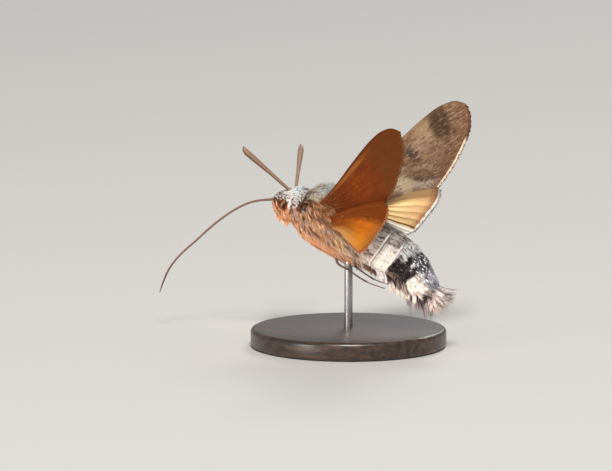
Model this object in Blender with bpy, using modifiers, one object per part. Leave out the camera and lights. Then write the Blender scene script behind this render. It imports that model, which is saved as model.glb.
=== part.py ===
"""A hummingbird hawk moth, life size, hovering on a plain display stand.

The moth faces -X with its left side towards -Y. The floor is z = 0 and the origin is the centre of
the stand's underside. Sizes are in metres. The body is laid out in its own frame: s runs from the
thorax centre towards the tail, n towards the back, and y to the moth's right.
"""

import math
import random

import bmesh
import bpy
import numpy as np
from mathutils import Vector

MM = 0.001
GAP = 0.3 * MM

# The pose: a body held nose up, high enough for the tail tufts to clear the stand.
BODY_PITCH = math.radians(22.0)
THORAX_X = -3.0 * MM
THORAX_Z = 18.2 * MM

# The stand.
BASE_RADIUS = 14.0 * MM
BASE_THICKNESS = 2.6 * MM
BASE_BEVEL = 0.5 * MM
ROD_RADIUS = 0.6 * MM
ROD_SIDES = 20

# Flesh sections in millimetres: place s, centre n, half depth, half width.
HEAD_SECTIONS = [
    (-9.15, -0.85, 0.30, 0.45),
    (-8.85, -0.70, 0.70, 0.95),
    (-8.20, -0.55, 1.30, 1.50),
    (-7.30, -0.50, 1.95, 1.95),
    (-6.30, -0.45, 2.55, 2.30),
    (-5.30, -0.50, 2.90, 2.50),
    (-4.55, -0.60, 2.95, 2.50),
]
THORAX_SECTIONS = [
    (-4.25, -0.62, 3.00, 2.55),
    (-3.60, -0.25, 3.65, 3.10),
    (-2.80, 0.00, 4.15, 3.65),
    (-1.20, 0.08, 4.50, 4.05),
    (0.80, 0.05, 4.62, 4.25),
    (2.80, -0.05, 4.55, 4.20),
    (4.70, -0.20, 4.25, 4.00),
    (6.20, -0.30, 3.85, 3.75),
]
ABDOMEN_SECTIONS = [
    (6.50, -0.40, 3.60, 3.65),
    (8.00, -0.50, 3.55, 3.90),
    (10.00, -0.60, 3.40, 4.00),
    (12.00, -0.80, 3.25, 3.90),
    (14.00, -1.20, 3.00, 3.60),
    (16.00, -1.75, 2.55, 3.05),
    (17.40, -2.20, 2.00, 2.45),
    (18.30, -2.45, 1.55, 2.00),
]
SEGMENT_LENGTH = 2.10
SEGMENT_LIP = 0.16
ABDOMEN_START = 6.50
ABDOMEN_END = 18.30

# Eyes and their sockets, in millimetres.
EYE_PLACE = (-6.87, 1.72, -0.95)
EYE_HALF = (0.98, 0.98, 1.08)

# Wing planes in body places (s, y, n) for the right side: a point of the root, the tip and a point
# of the hind edge. The left wing mirrors it, and both pairs roll a little about the body.
FOREWING_ROOT = (-0.74, 3.20, 2.48)
FOREWING_TIPS = {"left": (10.90, 9.40, 20.20), "right": (10.86, 8.90, 21.15)}
FOREWING_CORNER = (11.62, 6.13, 9.81)
HINDWING_ROOT = (1.80, 4.40, 1.90)
HINDWING_TIP = (11.11, 7.22, 9.07)
HINDWING_CORNER = (8.88, 7.10, 0.30)
WING_ROLL = math.radians(4.0)

# Wing outlines as shares of the wing's length: along it, then across it towards the hind edge.
FOREWING_COSTA = [
    (-0.09, 0.00), (0.08, -0.015), (0.25, -0.038), (0.42, -0.068), (0.58, -0.094),
    (0.74, -0.113), (0.87, -0.111), (0.955, -0.082), (1.00, -0.03),
]
FOREWING_TERMEN = [(1.00, -0.03), (0.99, 0.03), (0.935, 0.117), (0.845, 0.180), (0.72, 0.245), (0.56, 0.305)]
FOREWING_DORSUM = [(-0.09, 0.085), (0.06, 0.115), (0.22, 0.185), (0.40, 0.235), (0.56, 0.305)]
HINDWING_COSTA = [(-0.17, 0.00), (0.10, -0.02), (0.40, -0.05), (0.72, -0.055), (0.93, -0.03), (1.00, 0.03)]
HINDWING_TERMEN = [
    (1.00, 0.03), (0.98, 0.10), (0.90, 0.205), (0.75, 0.315), (0.61, 0.415), (0.52, 0.465), (0.43, 0.475),
]
HINDWING_DORSUM = [(-0.17, 0.12), (0.0, 0.14), (0.15, 0.20), (0.29, 0.345), (0.43, 0.475)]

# Veins: place across the wing, and how far along it the vein starts to stand out.
FOREWING_VEINS = [(0.045, 0.0), (0.15, 0.40), (0.28, 0.44), (0.41, 0.44), (0.54, 0.44), (0.67, 0.36), (0.79, 0.0), (0.93, 0.0)]
FOREWING_ROWS = [0.0, 0.10, 0.21, 0.32, 0.42, 0.44, 0.46, 0.57, 0.68, 0.78, 0.87, 0.94, 1.0]
FOREWING_CELL_ROW = 0.44
FOREWING_CELL = (0.04, 0.80)
HINDWING_VEINS = [(0.06, 0.0), (0.22, 0.42), (0.38, 0.42), (0.53, 0.38), (0.67, 0.0), (0.80, 0.0), (0.93, 0.0)]
HINDWING_ROWS = [0.0, 0.12, 0.26, 0.40, 0.43, 0.46, 0.60, 0.74, 0.88, 1.0]
HINDWING_CELL_ROW = 0.43
HINDWING_CELL = (0.05, 0.68)
MEMBRANE_THICKNESS = 0.50 * MM
VEIN_THICKNESS = 0.80 * MM
VEIN_HALF_WIDTH = 0.15
WING_CAMBER = 0.45
WING_BEND = 0.3
WING_TUCK = {"forewing": 0.5, "hindwing": 1.5}

# Feelers, tongue and legs as paths of points in millimetres from the thorax centre.
ANTENNA_ROOT = (-5.90, 0.60, 3.45)
ANTENNA_TIPS = {"left": (-9.40, -9.00, 10.45), "right": (-9.80, 9.70, 8.85)}
ANTENNA_ARCH = 0.05
ANTENNA_POINTS = 22
ANTENNA_RADII = [(0.0, 0.26), (0.40, 0.31), (0.75, 0.46), (0.90, 0.48), (0.96, 0.36), (1.0, 0.14)]
ANTENNA_HOOK = (0.05, -0.35, 0.30)
PROBOSCIS_PATH = [
    (-8.30, 0.0, 2.60), (-9.38, 0.0, 2.14), (-10.9, 0.0, 1.93), (-12.94, 0.0, 1.45), (-15.86, 0.0, 0.04),
    (-18.12, 0.0, -1.48), (-20.22, 0.0, -3.16), (-22.17, 0.0, -4.86), (-23.78, 0.0, -6.19),
    (-25.40, 0.0, -7.75), (-26.75, 0.0, -9.55), (-27.70, 0.0, -11.60), (-28.15, 0.0, -12.80),
]
PROBOSCIS_CUTS = (0.36, 0.70)
PROBOSCIS_RADII = [(0.0, 0.30), (0.5, 0.27), (0.9, 0.25), (1.0, 0.15)]
PALP_PATH = [(-5.30, 0.90, -2.60), (-6.60, 0.76, -2.68), (-7.75, 0.66, -2.42), (-8.50, 0.54, -2.00), (-8.90, 0.46, -1.65)]
PALP_RADII = [(0.0, 0.42), (0.35, 0.58), (0.70, 0.50), (0.90, 0.34), (1.0, 0.18)]

# Legs lie folded along the underside, in body places (s, y, n): root, knee, shin end and foot.
LEG_PATHS = {
    "fore": [(-3.0, 1.10, -3.2), (-2.7, 1.20, -4.15), (-1.4, 1.15, -4.62), (0.6, 1.05, -4.85), (2.4, 1.00, -4.95)],
    "mid": [(-0.4, 2.00, -3.5), (0.2, 2.30, -4.10), (2.0, 2.35, -4.35), (4.2, 2.25, -4.42), (6.0, 2.15, -4.50)],
    "hind": [(3.4, 1.35, -3.8), (4.0, 1.40, -5.00), (6.0, 1.30, -5.30), (9.4, 1.25, -5.62), (12.4, 1.45, -5.10)],
}
LEG_RADII = [(0.0, 0.34), (0.35, 0.30), (0.62, 0.27), (0.9, 0.25), (1.0, 0.16)]
LEG_POINTS = 18

# Tufts: the flat locks of long scales on the sides of the abdomen and the fan of the tail.
LOCK_THICKNESS = 0.50
SIDE_TUFTS = [(9.4, 5, 1.7), (11.2, 6, 2.1), (12.9, 6, 2.2), (14.5, 6, 2.3), (16.0, 6, 2.5), (17.2, 5, 2.5)]
SIDE_TUFT_SPREAD = (8.0, -68.0)
SIDE_TUFT_LIFT = (0.62, 0.34)
SIDE_LOCK_WIDTH = 0.95
FAN_PLACE = (18.9, 0.0, -2.50)
FAN_CORE_HALF = (1.15, 1.75, 1.20)
FAN_TIERS = [(12.0, 2.9, 9), (-15.0, 2.9, 9), (-45.0, 3.1, 8)]
FAN_SPREAD = 36.0
FAN_LOCK_WIDTH = 1.05
SEED = 11

COLOURS = {
    "scales_grey": (0.42, 0.39, 0.35),
    "scales_abdomen": (0.55, 0.54, 0.55),
    "tail_scales": (0.30, 0.26, 0.24),
    "eye_brown": (0.10, 0.05, 0.03),
    "wing_brown": (0.34, 0.22, 0.14),
    "wing_orange": (0.83, 0.45, 0.12),
    "feeler_tan": (0.50, 0.34, 0.25),
    "tongue_brown": (0.20, 0.09, 0.05),
    "leg_tan": (0.55, 0.36, 0.24),
    "stand_wood": (0.10, 0.07, 0.05),
    "stand_steel": (0.30, 0.30, 0.31),
}
ROUGH = {"eye_brown": 0.25, "stand_steel": 0.35, "tongue_brown": 0.45}


def clear_scene():
    """Removes whatever the file opened with."""
    for obj in list(bpy.data.objects):
        bpy.data.objects.remove(obj)


def material(name):
    """A Principled BSDF with this slot's colour."""
    made = bpy.data.materials.get(name)
    if made:
        return made
    made = bpy.data.materials.new(name)
    made.use_nodes = True
    shader = made.node_tree.nodes["Principled BSDF"]
    shader.inputs["Base Color"].default_value = (*COLOURS[name], 1.0)
    shader.inputs["Roughness"].default_value = ROUGH.get(name, 0.8)
    shader.inputs["Metallic"].default_value = 0.9 if name == "stand_steel" else 0.0
    return made


def collection(name):
    made = bpy.data.collections.new(name)
    bpy.context.scene.collection.children.link(made)
    return made


def add_object(name, mesh, slot=None, into=None):
    """Links a mesh to the moth's collection, or to another one, as an object."""
    obj = bpy.data.objects.new(name, mesh)
    (into or bpy.data.collections["hawk_moth"]).objects.link(obj)
    if slot:
        mesh.materials.clear()
        mesh.materials.append(material(slot))
    return obj


def closed_mesh(name, bm):
    """A mesh of the finished bmesh, its faces turned outwards."""
    bm.normal_update()
    bmesh.ops.recalc_face_normals(bm, faces=bm.faces)
    if bm.calc_volume(signed=True) < 0:
        bmesh.ops.reverse_faces(bm, faces=bm.faces)
    mesh = bpy.data.meshes.new(name)
    bm.to_mesh(mesh)
    bm.free()
    return mesh


def body_point(s, y, n):
    """World place of a body-frame place given in millimetres."""
    x = s * math.cos(BODY_PITCH) + n * math.sin(BODY_PITCH)
    z = n * math.cos(BODY_PITCH) - s * math.sin(BODY_PITCH)
    return Vector((THORAX_X + x * MM, y * MM, THORAX_Z + z * MM))


def thorax_point(x, y, z):
    """World place of a point given in millimetres from the thorax centre."""
    return Vector((THORAX_X + x * MM, y * MM, THORAX_Z + z * MM))


def smooth_through(knots, values, at):
    """Values at places along a cubic Hermite curve through the knots."""
    knots = np.asarray(knots, float)
    values = np.asarray(values, float)
    at = np.asarray(at, float)
    slopes = np.gradient(values, knots, axis=0)
    i = np.clip(np.searchsorted(knots, at, side="right") - 1, 0, len(knots) - 2)
    step = knots[i + 1] - knots[i]
    t = (at - knots[i]) / step
    if values.ndim > 1:
        step, t = step[:, None], t[:, None]
    rise = values[i + 1] - values[i]
    bend_in = slopes[i] * step - rise
    bend_out = rise - slopes[i + 1] * step
    return values[i] + t * rise + t * (1 - t) * ((1 - t) * bend_in + t * bend_out)


def smooth_path(points, shares):
    """Points at these shares of the length of a smooth curve through the given ones."""
    points = np.asarray(points, float)
    lengths = np.concatenate([[0.0], np.cumsum(np.linalg.norm(np.diff(points, axis=0), axis=1))])
    return smooth_through(lengths / lengths[-1], points, np.asarray(shares, float))


def shares_of(table, shares):
    """Values of a (share, value) table at these shares."""
    return np.interp(shares, [row[0] for row in table], [row[1] for row in table])


def segment_lip(s):
    """How far the hind rim of an abdomen segment stands out at s, in millimetres."""
    along = ((s - ABDOMEN_START) / SEGMENT_LENGTH) % 1.0
    fade = np.clip((ABDOMEN_END - s) / 3.0, 0.0, 1.0)
    return SEGMENT_LIP * along * fade


def loft(name, sections, sides, places, grow=0.0, lip=None):
    """A closed body of oval sections across the body axis, each grown by the same amount."""
    s_known = [row[0] for row in sections]
    shape = smooth_through(s_known, [row[1:] for row in sections], places)
    bm = bmesh.new()
    rings = []
    for index, (s, (centre, half_depth, half_width)) in enumerate(zip(places, shape)):
        more = grow + (float(lip(s)) if lip else 0.0)
        shift = {0: -grow, len(places) - 1: grow}.get(index, 0.0)
        ring = []
        for k in range(sides):
            angle = 2 * math.pi * k / sides
            y = (half_width + more) * math.cos(angle)
            n = centre + (half_depth + more) * math.sin(angle)
            ring.append(bm.verts.new(body_point(s + shift, y, n)))
        rings.append(ring)
    for ring, after in zip(rings, rings[1:]):
        for k in range(sides):
            bm.faces.new((ring[k], ring[(k + 1) % sides], after[(k + 1) % sides], after[k]))
    for ring in (rings[0], rings[-1]):
        middle = bm.verts.new(sum((v.co for v in ring), Vector()) / sides)
        for k in range(sides):
            bm.faces.new((middle, ring[k], ring[(k + 1) % sides]))
    return closed_mesh(name, bm)


def even_places(first, last, count, crowd=0.0):
    """Places from first to last, closer together towards both ends by the share crowd."""
    t = np.linspace(0.0, 1.0, count)
    eased = 0.5 - 0.5 * np.cos(math.pi * t)
    return first + (last - first) * ((1 - crowd) * t + crowd * eased)


def tube_mesh(name, points, radii, sides_level=2):
    """A bevelled curve through the points, with its own radius at each, made a closed mesh."""
    curve = bpy.data.curves.new(name, "CURVE")
    curve.dimensions = "3D"
    curve.bevel_depth = MM
    curve.bevel_resolution = sides_level
    curve.use_fill_caps = True
    spline = curve.splines.new("POLY")
    spline.points.add(len(points) - 1)
    for point, place, radius in zip(spline.points, points, radii):
        point.co = (*place, 1.0)
        point.radius = radius
    guide = bpy.data.objects.new(name + "_curve", curve)
    bpy.context.scene.collection.objects.link(guide)
    graph = bpy.context.evaluated_depsgraph_get()
    bm = bmesh.new()
    bm.from_mesh(bpy.data.meshes.new_from_object(guide.evaluated_get(graph)))
    bpy.data.objects.remove(guide)
    bmesh.ops.remove_doubles(bm, verts=bm.verts, dist=1e-6)
    return closed_mesh(name, bm)


def largest_surface(mesh):
    """Drops every loose closed surface but the one that holds the most."""
    bm = bmesh.new()
    bm.from_mesh(mesh)
    seen, islands = set(), []
    for start in bm.verts:
        if start in seen:
            continue
        stack, island = [start], set()
        while stack:
            vert = stack.pop()
            if vert in island:
                continue
            island.add(vert)
            stack.extend(edge.other_vert(vert) for edge in vert.link_edges)
        seen |= island
        islands.append(island)
    sizes = []
    for island in islands:
        faces = {face for vert in island for face in vert.link_faces}
        volume = 0.0
        for face in faces:
            corners = [loop.vert.co for loop in face.loops]
            for b, c in zip(corners[1:], corners[2:]):
                volume += corners[0].dot(b.cross(c)) / 6
        sizes.append(volume)
    kept = islands[sizes.index(max(sizes))]
    bmesh.ops.delete(bm, geom=[v for v in bm.verts if v not in kept], context="VERTS")
    bm.to_mesh(mesh)
    bm.free()


def settle(obj):
    """Applies an object's modifiers and keeps its largest closed surface."""
    graph = bpy.context.evaluated_depsgraph_get()
    mesh = bpy.data.meshes.new_from_object(obj.evaluated_get(graph))
    obj.modifiers.clear()
    obj.data = mesh
    largest_surface(mesh)
    mesh.shade_smooth()
    mesh.set_sharp_from_angle(angle=math.radians(35))


def cut_by(obj, cutter):
    """Cuts a grown copy of what the object grows from out of it, so that a thin gap is left."""
    cut = obj.modifiers.new("root_cut", "BOOLEAN")
    cut.operation = "DIFFERENCE"
    cut.object = cutter
    cut.solver = "EXACT"


def join_with(obj, pieces_collection):
    """Fuses the closed pieces of a collection into the object, then removes them."""
    join = obj.modifiers.new("join", "BOOLEAN")
    join.operation = "UNION"
    join.operand_type = "COLLECTION"
    join.collection = pieces_collection
    join.solver = "MANIFOLD"
    settle(obj)
    for piece in list(pieces_collection.objects):
        bpy.data.objects.remove(piece)
    bpy.data.collections.remove(pieces_collection)


def make_cutter(name, mesh):
    cutter = add_object(name, mesh, into=bpy.data.collections["cutters"])
    cutter.hide_render = True
    cutter.display_type = "WIRE"
    return cutter


def lock_mesh(name, root, direction, flat_side, length, width, droop, bend):
    """A flat, tapered lock: four sides, three rings and a tip, bending towards bend as it goes."""
    bm = bmesh.new()
    rings = []
    steps = [(0.0, 0.75, 1.15), (0.40, 1.0, 1.0), (0.75, 0.72, 0.75)]
    for share, wide, thick in steps:
        place = root + direction * (length * share) + bend * (droop * share * share)
        side = flat_side * (width / 2 * wide)
        up = direction.cross(flat_side).normalized() * (LOCK_THICKNESS * MM / 2 * thick)
        rings.append([bm.verts.new(place + offset) for offset in (side, up, -side, -up)])
    tip = bm.verts.new(root + direction * length + bend * droop)
    for ring, after in zip(rings, rings[1:]):
        for k in range(4):
            bm.faces.new((ring[k], ring[(k + 1) % 4], after[(k + 1) % 4], after[k]))
    for k in range(4):
        bm.faces.new((rings[-1][k], rings[-1][(k + 1) % 4], tip))
    bm.faces.new(reversed(rings[0]))
    bmesh.ops.triangulate(bm, faces=bm.faces)
    return closed_mesh(name, bm)


def body_direction(s, y, n):
    """World direction of a body-frame direction."""
    return (body_point(s, y, n) - body_point(0, 0, 0)).normalized()


def add_side_tufts(abdomen, rng):
    """Locks of long scales along both sides of the abdomen, pointing back, out and down."""
    locks = collection("side_locks")
    for s, count, length in SIDE_TUFTS:
        centre, half_depth, half_width = smooth_through(
            [row[0] for row in ABDOMEN_SECTIONS], [row[1:] for row in ABDOMEN_SECTIONS], [s]
        )[0]
        for side in (-1, 1):
            for k in range(count):
                share = (k + 0.5) / count
                angle = math.radians(SIDE_TUFT_SPREAD[0] + (SIDE_TUFT_SPREAD[1] - SIDE_TUFT_SPREAD[0]) * share)
                out_y, out_n = side * math.cos(angle), math.sin(angle)
                root = body_point(
                    s + 0.5 * rng.uniform(-1, 1) + 0.5 * (k % 2),
                    out_y * (half_width - 0.75),
                    centre + out_n * (half_depth - 0.75),
                )
                lift = SIDE_TUFT_LIFT[0] + SIDE_TUFT_LIFT[1] * share
                along = body_direction(1.25, lift * out_y * 0.8, lift * out_n - 0.30)
                outward = body_direction(0.0, out_y, out_n)
                flat = along.cross(outward).normalized()
                long = (length + 0.75) * rng.uniform(0.9, 1.12) * MM
                width = SIDE_LOCK_WIDTH * rng.uniform(0.85, 1.15) * MM
                drop = -outward * 0.25 + body_direction(0.5, 0.0, -0.6)
                mesh = lock_mesh("side_lock", root, along, flat, long, width, 0.35 * MM, drop)
                add_object("side_lock", mesh, into=locks)
    join_with(abdomen, locks)


def make_tail_fan(rng):
    """The fan of long scales at the tail, in three tiers fused to a small core."""
    core = oval_body("tail_fan", FAN_PLACE, FAN_CORE_HALF, 20, 12)
    fan = add_object("tail_fan", core, "tail_scales")
    cut_by(fan, bpy.data.objects["abdomen_cutter"])
    settle(fan)
    locks = collection("fan_locks")
    for tier, (slope, length, count) in enumerate(FAN_TIERS):
        for k in range(count):
            turn = math.radians(FAN_SPREAD * (2 * (k + 0.5) / count - 1))
            rise = math.radians(slope + rng.uniform(-4, 4))
            along = body_direction(math.cos(rise) * math.cos(turn), math.sin(turn), math.sin(rise))
            root = body_point(
                FAN_PLACE[0] + 0.15,
                FAN_CORE_HALF[1] * 0.62 * math.sin(turn) / math.sin(math.radians(FAN_SPREAD)),
                FAN_PLACE[2] + 0.40 - 0.42 * tier,
            )
            flat = along.cross(body_direction(math.sin(-rise), 0.0, math.cos(rise))).normalized()
            long = (length * (1 - 0.10 * abs(turn)) * rng.uniform(0.92, 1.08)) * MM
            width = FAN_LOCK_WIDTH * rng.uniform(0.9, 1.1) * MM
            bend = body_direction(0.3, 0.0, -1.0)
            mesh = lock_mesh("fan_lock", root, along, flat, long, width, 0.3 * MM, bend)
            add_object("fan_lock", mesh, into=locks)
    join_with(fan, locks)
    return fan


def oval_body(name, place, half, segments, rings, grow=0.0):
    """An ellipsoid lined up with the body frame, from a primitive sphere."""
    bm = bmesh.new()
    bmesh.ops.create_uvsphere(bm, u_segments=segments, v_segments=rings, radius=1.0)
    for vert in bm.verts:
        s, y, n = vert.co.y, vert.co.z, vert.co.x
        vert.co = body_point(
            place[0] + s * (half[0] + grow),
            place[1] + y * (half[1] + grow),
            place[2] + n * (half[2] + grow),
        )
    return closed_mesh(name, bm)


def make_flesh():
    """Head, thorax and abdomen, with grown copies that cut the roots of what they carry."""
    grow = GAP / MM
    head_places = even_places(HEAD_SECTIONS[0][0], HEAD_SECTIONS[-1][0], 13, 0.3)
    thorax_places = even_places(THORAX_SECTIONS[0][0], THORAX_SECTIONS[-1][0], 16, 0.3)
    abdomen_places = []
    s = ABDOMEN_START
    while s < ABDOMEN_END - 0.2:
        abdomen_places += [s, s + SEGMENT_LENGTH * 0.45, s + SEGMENT_LENGTH * 0.92]
        s += SEGMENT_LENGTH
    abdomen_places = [place for place in abdomen_places if place < ABDOMEN_END - 0.2] + [ABDOMEN_END]
    parts = {
        "head": ("scales_grey", HEAD_SECTIONS, 26, head_places, None),
        "thorax": ("scales_grey", THORAX_SECTIONS, 30, thorax_places, None),
        "abdomen": ("scales_abdomen", ABDOMEN_SECTIONS, 28, abdomen_places, segment_lip),
    }
    made = {}
    for name, (slot, sections, sides, places, lip) in parts.items():
        made[name] = add_object(name, loft(name, sections, sides, places, lip=lip), slot)
        make_cutter(name + "_cutter", loft(name + "_cutter", sections, sides, places, grow, lip))
    return made


def make_eyes(head):
    """Two oval eyes, each in a socket cut a gap wider than it."""
    for side, label in ((-1, "left"), (1, "right")):
        place = (EYE_PLACE[0], side * EYE_PLACE[1], EYE_PLACE[2])
        add_object(f"eye_{label}", oval_body(f"eye_{label}", place, EYE_HALF, 18, 12), "eye_brown")
        socket = oval_body(f"socket_{label}", place, EYE_HALF, 18, 12, GAP / MM)
        cut_by(head, make_cutter(f"socket_{label}", socket))
    settle(head)


def wing_place(place, side):
    """A body place of a right wing, mirrored to its side and rolled with both pairs."""
    s, y, n = place
    y *= side
    turn = (math.cos(WING_ROLL), math.sin(WING_ROLL))
    return Vector((s, y * turn[0] - n * turn[1], n * turn[0] + y * turn[1]))


def wing_frame(root, tip, corner, side):
    """Origin, span, chord and underside directions of a wing plane, and its length."""
    root, tip, corner = (wing_place(place, side) for place in (root, tip, corner))
    length = (tip - root).length
    span = (tip - root) / length
    chord = corner - root
    chord = (chord - span * chord.dot(span)).normalized()
    under = span.cross(chord) * side
    return root, span, chord, under, length


def wing_point(outline, p, q):
    """A place inside the four edges of an outline, p along it and q across it (shares 0 to 1)."""
    costa, termen, dorsum = outline
    front = smooth_path(costa, [p])[0]
    hind = smooth_path(dorsum, [p])[0]
    inner = np.array(costa[0]) * (1 - q) + np.array(dorsum[0]) * q
    outer = smooth_path(termen, [q])[0]
    corners = (
        (1 - p) * ((1 - q) * np.array(costa[0]) + q * np.array(dorsum[0]))
        + p * ((1 - q) * np.array(costa[-1]) + q * np.array(dorsum[-1]))
    )
    return (1 - q) * front + q * hind + (1 - p) * inner + p * outer - corners


def wing_columns(veins, chord):
    """Columns across a wing: both edges and three for each vein, as (place, vein start or None)."""
    columns = [(0.0, None)]
    half = min(VEIN_HALF_WIDTH / chord, 0.028)
    for place, start in veins:
        columns += [(place - half, None), (place, start), (place + half, None)]
    return columns + [(1.0, None)]


def make_wing(name, slot, frame, outline, veins, rows, cell_row, cell, side):
    """A thin wing whose veins are ridges: a grid shaped to the outline and given thickness."""
    root, span, chord_way, under, length = frame
    column_count = len(veins) * 3 + 2
    bm = bmesh.new()
    bmesh.ops.create_grid(bm, x_segments=column_count - 1, y_segments=len(rows) - 1, size=1.0)
    weights = {}
    for vert in bm.verts:
        column = round((vert.co.x + 1) / 2 * (column_count - 1))
        row = round((vert.co.y + 1) / 2 * (len(rows) - 1))
        p = rows[row]
        chord = length * float(np.linalg.norm(wing_point(outline, p, 1.0) - wing_point(outline, p, 0.0)))
        q, start = wing_columns(veins, chord)[column]
        along, across = wing_point(outline, p, q)
        height = WING_CAMBER * math.sin(math.pi * q) * math.sin(math.pi * p) - WING_BEND * max(along, 0.0) ** 2
        height += WING_TUCK[name.split("_")[0]] * max(0.0, 1.0 - (along - outline[0][0][0]) / 0.35) ** 2
        place = root + span * (along * length) + chord_way * (across * length) - under * height
        vert.co = body_point(*place)
        raised = start is not None and p >= start - 1e-6
        crossing = abs(p - cell_row) < 1e-6 and cell[0] <= q <= cell[1]
        weights[vert.index] = 1.0 if raised or crossing else MEMBRANE_THICKNESS / VEIN_THICKNESS
    bmesh.ops.triangulate(bm, faces=bm.faces, quad_method="FIXED")
    bmesh.ops.recalc_face_normals(bm, faces=bm.faces)
    mesh = bpy.data.meshes.new(name)
    bm.to_mesh(mesh)
    bm.free()
    wing = add_object(name, mesh, slot)
    group = wing.vertex_groups.new(name="veins")
    for index, weight in weights.items():
        group.add([index], weight, "REPLACE")
    thick = wing.modifiers.new("thickness", "SOLIDIFY")
    thick.thickness = VEIN_THICKNESS
    thick.offset = 0.0
    thick.vertex_group = "veins"
    cut_by(wing, bpy.data.objects["thorax_cutter"])
    settle(wing)
    wing.data.materials.clear()
    wing.data.materials.append(material(slot))
    return wing


def make_wings():
    """Both pairs of wings, raised over the back and swept towards the tail."""
    fore_outline = (FOREWING_COSTA, FOREWING_TERMEN, FOREWING_DORSUM)
    hind_outline = (HINDWING_COSTA, HINDWING_TERMEN, HINDWING_DORSUM)
    for side, label in ((-1, "left"), (1, "right")):
        fore = wing_frame(FOREWING_ROOT, FOREWING_TIPS[label], FOREWING_CORNER, side)
        hind = wing_frame(HINDWING_ROOT, HINDWING_TIP, HINDWING_CORNER, side)
        make_wing(
            f"forewing_{label}", "wing_brown", fore, fore_outline, FOREWING_VEINS,
            FOREWING_ROWS, FOREWING_CELL_ROW, FOREWING_CELL, side,
        )
        make_wing(
            f"hindwing_{label}", "wing_orange", hind, hind_outline, HINDWING_VEINS,
            HINDWING_ROWS, HINDWING_CELL_ROW, HINDWING_CELL, side,
        )


def make_antennae():
    """Two clubbed feelers that widen towards a short, hooked tip."""
    for side, label in ((-1, "left"), (1, "right")):
        root = np.array(ANTENNA_ROOT) * (1, side, 1)
        tip = np.array(ANTENNA_TIPS[label])
        shares = np.linspace(0.0, 1.0, ANTENNA_POINTS)
        arch = np.sin(math.pi * shares) * ANTENNA_ARCH
        curl = np.clip((shares - 0.88) / 0.12, 0.0, 1.0) ** 2
        hook = np.array(ANTENNA_HOOK) * (1, side, 1)
        places = root + np.outer(shares, tip - root) + np.outer(arch, (0.25, 0.0, 1.0)) + np.outer(curl, hook)
        path = [thorax_point(*place) for place in places]
        mesh = tube_mesh(f"antenna_{label}", path, shares_of(ANTENNA_RADII, shares))
        antenna = add_object(f"antenna_{label}", mesh, "feeler_tan")
        cut_by(antenna, bpy.data.objects["head_cutter"])
        settle(antenna)


def make_proboscis():
    """The long tongue, reaching forward and down, in three lengths a gap apart."""
    points = np.array(PROBOSCIS_PATH)
    total = float(np.sum(np.linalg.norm(np.diff(points, axis=0), axis=1)))
    half_gap = GAP / MM / 2 / total
    ends = [0.0, *PROBOSCIS_CUTS, 1.0]
    for number, (start, end) in enumerate(zip(ends, ends[1:])):
        start += half_gap if number else 0.0
        end -= half_gap if end < 1.0 else 0.0
        shares = np.linspace(start, end, 12)
        path = [thorax_point(*p) for p in smooth_path(points, shares)]
        name = ("proboscis_base", "proboscis_middle", "proboscis_tip")[number]
        tongue = add_object(name, tube_mesh(name, path, shares_of(PROBOSCIS_RADII, shares)), "tongue_brown")
        if number == 0:
            cut_by(tongue, bpy.data.objects["head_cutter"])
        settle(tongue)


def make_palps():
    """Two blunt, upturned palps under the face, one each side of the tongue."""
    shares = np.linspace(0.0, 1.0, 12)
    for side, label in ((-1, "left"), (1, "right")):
        path = [body_point(p[0], side * p[1], p[2]) for p in smooth_path(PALP_PATH, shares)]
        mesh = tube_mesh(f"palp_{label}", path, shares_of(PALP_RADII, shares), 3)
        palp = add_object(f"palp_{label}", mesh, "scales_grey")
        cut_by(palp, bpy.data.objects["head_cutter"])
        settle(palp)


def make_legs():
    """Six legs, the first two pairs folded along the breast and the hind pair trailing."""
    shares = np.linspace(0.0, 1.0, LEG_POINTS)
    for pair, points in LEG_PATHS.items():
        for side, label in ((-1, "left"), (1, "right")):
            path = [body_point(p[0], side * p[1], p[2]) for p in smooth_path(points, shares)]
            mesh = tube_mesh(f"leg_{pair}_{label}", path, shares_of(LEG_RADII, shares))
            leg = add_object(f"leg_{pair}_{label}", mesh, "leg_tan")
            cut_by(leg, bpy.data.objects["thorax_cutter"])
            settle(leg)


def make_stand():
    """A round base with an eased rim, and one rod up to the underside of the thorax."""
    bm = bmesh.new()
    bmesh.ops.create_cone(
        bm, cap_ends=True, segments=48, radius1=BASE_RADIUS, radius2=BASE_RADIUS, depth=BASE_THICKNESS
    )
    mesh = bpy.data.meshes.new("stand_base")
    bm.to_mesh(mesh)
    bm.free()
    base = add_object("stand_base", mesh, "stand_wood")
    base.location = (0.0, 0.0, BASE_THICKNESS / 2)
    bevel = base.modifiers.new("eased_rim", "BEVEL")
    bevel.width = BASE_BEVEL
    bevel.segments = 2
    bm = bmesh.new()
    bottom = BASE_THICKNESS + GAP
    height = THORAX_Z - bottom
    bmesh.ops.create_cone(
        bm, cap_ends=True, segments=ROD_SIDES, radius1=ROD_RADIUS, radius2=ROD_RADIUS, depth=height
    )
    bmesh.ops.translate(bm, verts=bm.verts, vec=(0.0, 0.0, bottom + height / 2))
    mesh = bpy.data.meshes.new("stand_rod")
    bm.to_mesh(mesh)
    bm.free()
    rod = add_object("stand_rod", mesh, "stand_steel")
    cut_by(rod, bpy.data.objects["thorax_cutter"])
    settle(rod)


def main():
    clear_scene()
    collection("hawk_moth")
    collection("cutters")
    rng = random.Random(SEED)
    flesh = make_flesh()
    make_eyes(flesh["head"])
    settle(flesh["thorax"])
    add_side_tufts(flesh["abdomen"], rng)
    make_tail_fan(rng)
    make_wings()
    make_antennae()
    make_proboscis()
    make_palps()
    make_legs()
    make_stand()


main()
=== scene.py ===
"""A hummingbird hawk moth hovering on a display stand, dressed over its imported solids.

The moth faces -X with its left side towards -Y, and the floor is z = 0. Body places are written as
(s, y, n) in millimetres: s from the thorax centre towards the tail, y to its right, n to its back.
"""

import math

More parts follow.
